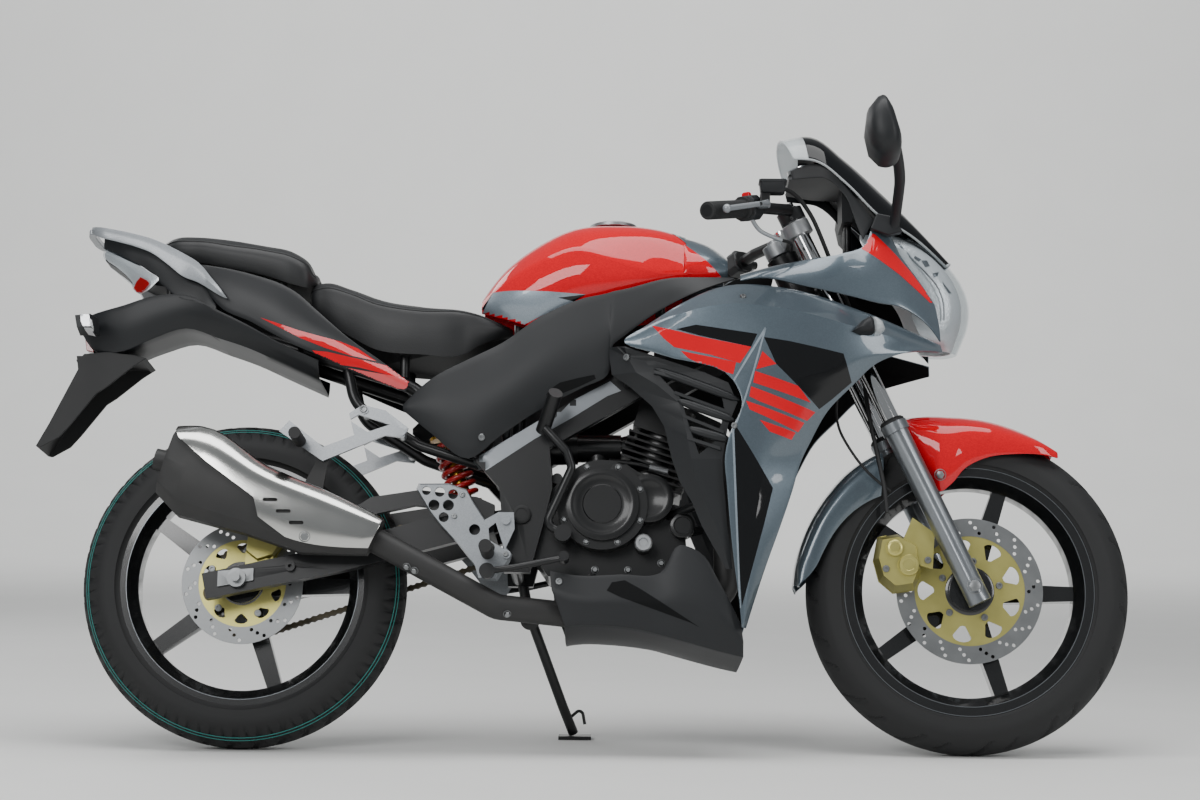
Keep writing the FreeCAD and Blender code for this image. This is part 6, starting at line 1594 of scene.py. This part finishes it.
def makeEngineTrim():
    out = (0, -1, 0)
    lathed("engineCaps", [(at, out, profile) for at, profile in engine["rings"]], "chassis", "castBlack",
           72)
    at, profile = engine["knob"]
    lathed("fillerKnob", [(at, out, profile)], "chassis", "castAluminium", 12, 30)
    table = [(at, out, 5, "hex") for at in engine["caseScrews"]]
    x, y, z = engine["cover"]
    for index in range(engine["coverScrews"]):
        angle = 2 * math.pi * (index + 0.5) / engine["coverScrews"]
        table.append(((x + engine["coverRadius"] * math.cos(angle), y,
                       z + engine["coverRadius"] * math.sin(angle)), out, 4, "hex"))
    table.append((engine["kickNut"], out, 6, "hex"))
    addFasteners("engineScrews", table, "chassis")


makeEngineTrim()

# silencer shield with its three slots and its bolts; a station is its top, its low edge and its half width
shield = {"stations": [((268, 398), (238, 336), 28), ((180, 440), (120, 338), 40), ((60, 490), (18, 372), 50),
                       ((-60, 560), (-104, 404), 54), ((-104, 560), (-140, 442), 52)],
          "edge": [(-98, 538), (-46, 493), (39, 431), (47, 397), (128, 338), (198, 344), (320, 330),
                   (320, 200), (-260, 200), (-260, 620), (-140, 620)],
          "proudMm": 4.6, "slots": [(68, 427), (92, 407), (115, 387)], "longMm": 13, "wideMm": 3.2,
          "middleY": -178, "across": [(0, 0.45, 3), (0.14, 0.86, 0), (0.5, 1, 0), (0.86, 0.86, 0)],
          "bolts": [(130, 363), (309, 318), (323, 311), (489, 236)], "largeMm": 7.5, "smallMm": 5.25,
          "largeUpTo": 200}


def longHole(x, z, halfLong, halfWide, sides=16):
    outline = []
    for k in range(sides):
        angle = 2 * math.pi * k / sides
        outline.append((x + halfWide * math.cos(angle) + math.copysign(halfLong - halfWide, math.cos(angle)),
                        z + halfWide * math.sin(angle)))
    return outline


def makeShield():
    rows = []
    for (topX, topZ), (lowX, lowZ), half in shield["stations"]:
        reach = half + shield["proudMm"]
        rows.append([(topX + (lowX - topX) * share, shield["middleY"] - reach * out,
                      topZ + (lowZ - topZ) * share + lift) for share, out, lift in shield["across"]])
    piece = skin("mufflerShield", rows, "chassis", "polishedStainless", ("muffler_shield",),
                 (80, shield["middleY"], 430), 6, 1.6, both=False)[0]
    cutThrough(piece, [shield["edge"]], -300, -120)
    slots = [longHole(x, z, shield["longMm"], shield["wideMm"]) for x, z in shield["slots"]]
    cutThrough(piece, slots, -270, -170)
    tree = surfaceTree(piece, solidPiece("exhaust"))
    table = []
    for x, z in shield["bolts"]:
        radius = shield["largeMm"] if x < shield["largeUpTo"] else shield["smallMm"]
        table += [(at, None, radius, "hex") for at in standsOn(tree, [(x, z)], (-1,))]
    addFasteners("shieldScrews", table, "chassis")


makeShield()

# front caliper: piston caps and screws, at x and z on its outer face
caliper = {"pistons": [(1213, 337, 19), (1188, 368, 15)], "screws": [(1215, 421), (1249, 348), (1172, 330)],
           "screwMm": 6.5}


def makeCaliperTrim():
    tree = surfaceTree(solidPiece("front_caliper"))
    turns = []
    for x, z, radius in caliper["pistons"]:
        profile = [(radius, -2), (radius, 6), (radius - 2, 8), (radius * 0.6, 8.4), (radius * 0.55, 7.6),
                   (0, 7.6)]
        turns += [(at, None, profile) for at in standsOn(tree, [(x, z)], (-1,))]
    lathed("caliperPistons", turns, "front_end", "goldChromate", 36)
    addFasteners("caliperScrews", [(at, None, caliper["screwMm"], "socket")
                                   for at in standsOn(tree, caliper["screws"], (-1,))], "front_end")


makeCaliperTrim()

# tail core between the side bands: x, low, high and half width
tailCore = [(-280, 908, 944, 24), (-250, 888, 939, 40), (-190, 858, 918, 54), (-150, 850, 896, 66),
            (-98, 845, 876, 83)]


def makeTailCore():
    rings = [[(x, -half, low), (x, half, low), (x, half * 0.94, high), (x, -half * 0.94, high)]
             for x, low, high, half in tailCore]
    solidBody("tailCore", rings, "chassis", "mouldedTail", "black_plastic", ("tail_tray",), 3, bevelMm=3)


makeTailCore()

# rear indicator lenses and the reflector between them, seen from the side
rearLamp = {"lens": [(-298, 778), (-284, 783), (-279, 767), (-276, 750), (-290, 751), (-296, 764)],
            "reflector": [(-312, 767), (-298, 765), (-293, 731), (-307, 735)]}


def makeRearLamps():
    bothStickers("rearIndicatorLens", [rearLamp["lens"]], surfaceTree(solidPiece("indicators")),
                 "lampReflector", "clear_lens", proud=2, cellMm=3)
    rings = [[(x, y, z) for x, z in rearLamp["reflector"]] for y in (-30, 30)]
    solidBody("rearReflector", rings, "chassis", "reflexRed", "clear_lens", (), 1, bevelMm=1.5)


makeRearLamps()

# instruments: two dials under clear covers, facing the rider, with generic ticks and a needle
dials = {"centre": (1030, 40, 1090), "radius": 33, "rimMm": 3.4, "tilt": (-0.22, 0, 1), "ticks": 24,
         "firstDegrees": -40, "sweepDegrees": 260, "needleDegrees": -32}


def makeDialParts():
    x, y, z = dials["centre"]
    radius, tilt = dials["radius"], dials["tilt"]
    inner = radius - dials["rimMm"]
    rims, faces, covers = [], [], []
    for side in (-1, 1):
        at = (x, side * y, z)
        rims.append((at, tilt, [(radius, -4), (radius, 3.4), (radius - 2, 4.2), (inner, 3), (inner, 1)]))
        faces.append((at, tilt, [(inner, 1), (0, 1)]))
        covers.append((at, tilt, [(inner, 2.2), (radius * 0.6, 3), (0, 3.2)]))
    lathed("dialRims", rims, "chassis", "chromePlate", 48)
    lathed("dialFaces", faces, "chassis", "labelWhite", 48)
    lathed("dialCovers", covers, "chassis", "clearAcrylic", 48)


def makeDialMarks():
    x, y, z = dials["centre"]
    radius = dials["radius"]
    bm = bmesh.new()

    def mark(turn, spots, height):
        bm.faces.new([bm.verts.new(turn @ Vector((a / 1000, b / 1000, height / 1000))) for a, b in spots])

    for side in (-1, 1):
        matrix = frameAt((x, side * y, z), dials["tilt"])
        for index in range(dials["ticks"]):
            degrees = dials["firstDegrees"] + dials["sweepDegrees"] * index / (dials["ticks"] - 1)
            end = radius * (0.74 if index % 4 == 0 else 0.82)
            mark(matrix @ Matrix.Rotation(math.radians(degrees), 4, "Z"),
                 [(radius * 0.87, -0.5), (radius * 0.87, 0.5), (end, 0.5), (end, -0.5)], 1.25)
        mark(matrix @ Matrix.Rotation(math.radians(dials["needleDegrees"]), 4, "Z"),
             [(radius * 0.8, -0.3), (radius * 0.8, 0.3), (-6, 1.4), (-6, -1.4)], 1.8)
    addPiece("dialMarks", newMesh(bm, "dialMarks"), "chassis", "stickerBlack")


makeDialParts()
makeDialMarks()
print("engine trim, shield and dials")

# wheels: thin grey lines on the rims, painted highlights along their lips, two coloured lines round the rear
# tyre, and the nuts of the front axle
wheelTrim = {"rimHighlights": (228.5, 221, 212), "tyreLines": (281.5, 286), "lineMm": 0.9, "nutY": 125.5,
             "nutMm": 11}


def ringHeight(piece, axle, radius):  # how far out a wheel's piece stands at one radius, in mm
    centre = place(*axle)
    best = {}
    for vertex in piece.data.vertices:
        away = vertex.co - centre
        across = away.dot(sideways) * 1000
        reach = (away - sideways * away.dot(sideways)).length * 1000
        slot = round(reach)
        if across > best.get(slot, 0):
            best[slot] = across
    near = sorted((abs(slot - radius), across) for slot, across in best.items())
    return near[0][1]


def makeLines(name, spec, rings, finish):  # thin round lines on both sides: radius and distance out
    turns = []
    wide = wheelTrim["lineMm"]
    for side in (-1, 1):
        for radius, across in rings:
            profile = [(radius + wide * math.cos(k * math.pi / 3), across + wide * math.sin(k * math.pi / 3))
                       for k in range(7)]
            turns.append((spec["axle"], (0, side, 0), profile))
    lathed(name, turns, spec["body"], finish, 160)


def crownHalf(spec, radius):  # half width of a tyre's crown at a radius, from the same arc as its section
    scale = tyres["crownScale"]
    depth = (radius - spec["radius"] + spec["crown"] * scale) / scale
    return math.sqrt(spec["crown"] ** 2 - depth ** 2)


def makeWheelTrim():
    for word in ("front", "rear"):
        axle, rim = wheels[word]["axle"], solidPiece(word + "_rim")
        # grey rings along the rim lips: painted highlights
        rings = [(radius, ringHeight(rim, axle, radius) - 0.4) for radius in wheelTrim["rimHighlights"]]
        makeLines(word + "RimHighlights", wheels[word], rings, "anodisedGrey")
    rings = [(radius, crownHalf(tyres["rear"], radius) + 0.3) for radius in wheelTrim["tyreLines"]]
    makeLines("rearTyreLines", wheels["rear"], rings, "tealInk")
    front = Vector(frontAxle)
    nuts = [(front + Vector((0, side * wheelTrim["nutY"], 0)), (0, side, 0), wheelTrim["nutMm"], "hex")
            for side in (-1, 1)]
    addFasteners("axleNut", nuts, "front_end")


makeWheelTrim()
print("wheel trim")

# vent slats: spear-shaped louvres over the dark opening, each from its rear end to its front end
slats = {"lines": [((748, 190, 679), (902, 204, 620)), ((789, 192, 621), (893, 204, 583)),
                   ((809, 192, 570), (883, 200, 548))], "halfMm": 8,
         "shape": [(0, 0.08), (0.05, 0.55), (0.2, 0.9), (0.5, 1), (0.8, 0.9), (0.94, 0.6), (1, 0.12)]}


def makeSlats():
    for index, (rear, ahead) in enumerate(slats["lines"]):
        rings = []
        for share, wide in slats["shape"]:
            middle = Vector(rear).lerp(Vector(ahead), share)
            half = slats["halfMm"] * wide
            rings.append([(middle.x + 2 * wide * math.sin(k * math.pi / 6),
                           middle.y + half * 0.8 * math.cos(k * math.pi / 6),
                           middle.z + half * math.sin(k * math.pi / 6)) for k in range(12)])
        bothBodies("ventSlat%d" % index, rings, "chassis", "mouldedTail", "black_plastic", (), smooth=60)


makeSlats()

# cockpit and front: inner cowling under the screen, front indicators, a painted highlight on the frame's
# upper faces, and a dark liner in the slit between nose cowl and fairing
cockpit = {
    "shroud": [[(1000, 82, 1078), (1004, 84, 1062)], [(1030, 94, 1088), (1032, 94, 1062)],
               [(1056, 104, 1086), (1062, 104, 1060)], [(1104, 106, 1042), (1100, 104, 1028)],
               [(1130, 104, 1010), (1122, 98, 974)], [(1154, 102, 980), (1134, 98, 944)]],
    "pod": [(1102, 747), (1122, 769), (1138, 779), (1150, 772), (1150, 752), (1140, 744), (1120, 742)],
    "lens": [(1142, 757), (1138, 777), (1146, 777), (1161, 767), (1165, 754), (1156, 745), (1146, 744)],
    # outline of the painted highlight on the frame's upper spar faces
    "spar": [(421, 521), (434, 494), (532, 560), (600, 600), (664, 641), (689, 651), (669, 669), (600, 632),
             (532, 592)],
    "podOut": [(178, 1), (206, 0.86), (216, 0.6), (220, 0.3)], "lensOut": 3,
    "slit": [(875, 852), (899, 866), (940, 871), (968, 869), (962, 842), (919, 846)], "slitY": (98, 102),
}


def makeIndicator(name, outline, finish, slot, out):
    middleX = sum(x for x, z in outline) / len(outline)
    middleZ = sum(z for x, z in outline) / len(outline)
    rings = [[(middleX + (x - middleX) * share, y + out, middleZ + (z - middleZ) * share) for x, z in outline]
             for y, share in cockpit["podOut"]]
    bothBodies(name, rings, "chassis", finish, slot, (), steps=3, smooth=50)


def makeCockpit():
    skin("innerCowl", cockpit["shroud"], "chassis", "mouldedAbs", (), (1060, 0, 1000),
         4, 2.5)
    makeIndicator("indicatorPod", cockpit["pod"], "mouldedAbs", "black_plastic", 0)
    makeIndicator("indicatorLens", cockpit["lens"], "clearAcrylic", "clear_lens", cockpit["lensOut"])
    # a grey sheet along the black frame's upper spar faces: painted highlight
    bothStickers("sparTopHighlight", [cockpit["spar"]], surfaceTree(solidPiece("main_frame")), "anodisedGrey",
                 "black_steel", proud=0.8, cellMm=12)
    slit = [[(x, y, z) for x, z in cockpit["slit"]] for y in cockpit["slitY"]]
    bothBodies("slitLiner", slit, "chassis", "rawAbs", "black_plastic", (), 1)


makeCockpit()

# details: screws of plates and swingarm, frame plugs, painted reflections of the lamp facets, painted shade
# in a belly recess and a side scoop, engine linkage
details = {
    "heelBolts": [(405, 451), (391, 412), (458, 422), (485, 343)], "bracketBolts": [(304, 567), (222, 608)],
    "armBolt": [(299, 419)], "plug": [(511, 421)],
    "plugProfile": [(17, -1), (17, 2), (15.5, 3), (11, 3), (10.5, 2.2), (0, 2.2)],
    # grey patches on the headlight reflector: painted reflections of its facets
    "facets": [[(1201, 946), (1208, 942), (1213, 933), (1206, 936)],
               [(1233, 922), (1245, 915), (1240, 910), (1231, 917)],
               [(1245, 913), (1256, 914), (1261, 903), (1252, 900)],
               [(1266, 889), (1278, 893), (1275, 884), (1268, 882)],
               [(1284, 875), (1295, 862), (1302, 854), (1296, 853), (1287, 865)]],
    # outlines of dark sheets laid in a belly recess and a side scoop: painted shade
    "bellyRecessShade": [(667, 279), (676, 294), (699, 298), (726, 283), (834, 214), (816, 223), (691, 267)],
    "sideScoopShade": [(553, 636), (562, 648), (578, 659), (612, 668), (640, 674), (643, 667), (612, 652),
                  (578, 638)],
    "clutchArm": [(727, -122, 432), (772, -122, 477)],
    "idleSpring": [(668, -64, 530), (720, -66, 525), (742, -66, 518)],
    "idleFerrule": [(742, -66, 518), (776, -64, 510)],
}


def makeDetails():
    plates = surfaceTree(solidPiece("footrest_plates"))
    swing = surfaceTree(solidPiece("swingarm"))
    table = [(at, None, radius, "socket")
             for key, tree, radius in (("heelBolts", plates, 5), ("bracketBolts", plates, 7),
                                       ("armBolt", swing, 7))
             for at in standsOn(tree, details[key])]
    addFasteners("plateScrews", table, "chassis")
    plugs = [(at, None, details["plugProfile"])
             for at in standsOn(surfaceTree(solidPiece("main_frame")), details["plug"])]
    lathed("framePlugs", plugs, "chassis", "softRubber", 32)
    # grey patches on the bright reflector: painted reflections of its facets
    bothStickers("lampFacetReflections", details["facets"], surfaceTree(bpy.data.objects["headlightBezel"]),
                 "anodisedGrey", "black_plastic", proud=0.6, cellMm=3)
    # dull black sheets over the belly recess and the side scoop: painted shade
    bothStickers("bellyRecessShade", [details["bellyRecessShade"]], surfaceTree(*bellyPan), "rawAbs", "black_plastic",
                 proud=0.6, cellMm=5)
    bothStickers("sideScoopShade", [details["sideScoopShade"]], surfaceTree(*sidePanels), "rawAbs", "black_plastic",
                 proud=0.6)
    tube("clutchArm", details["clutchArm"], 3.6, "chassis", "castAluminium")
    tube("idleSpring", details["idleSpring"], 5.5, "chassis", "powderBlack")
    tube("idleFerrule", details["idleFerrule"], 7, "chassis", "castAluminium")


makeDetails()
print("slats and cockpit")


def writeSize():
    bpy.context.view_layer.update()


writeSize()
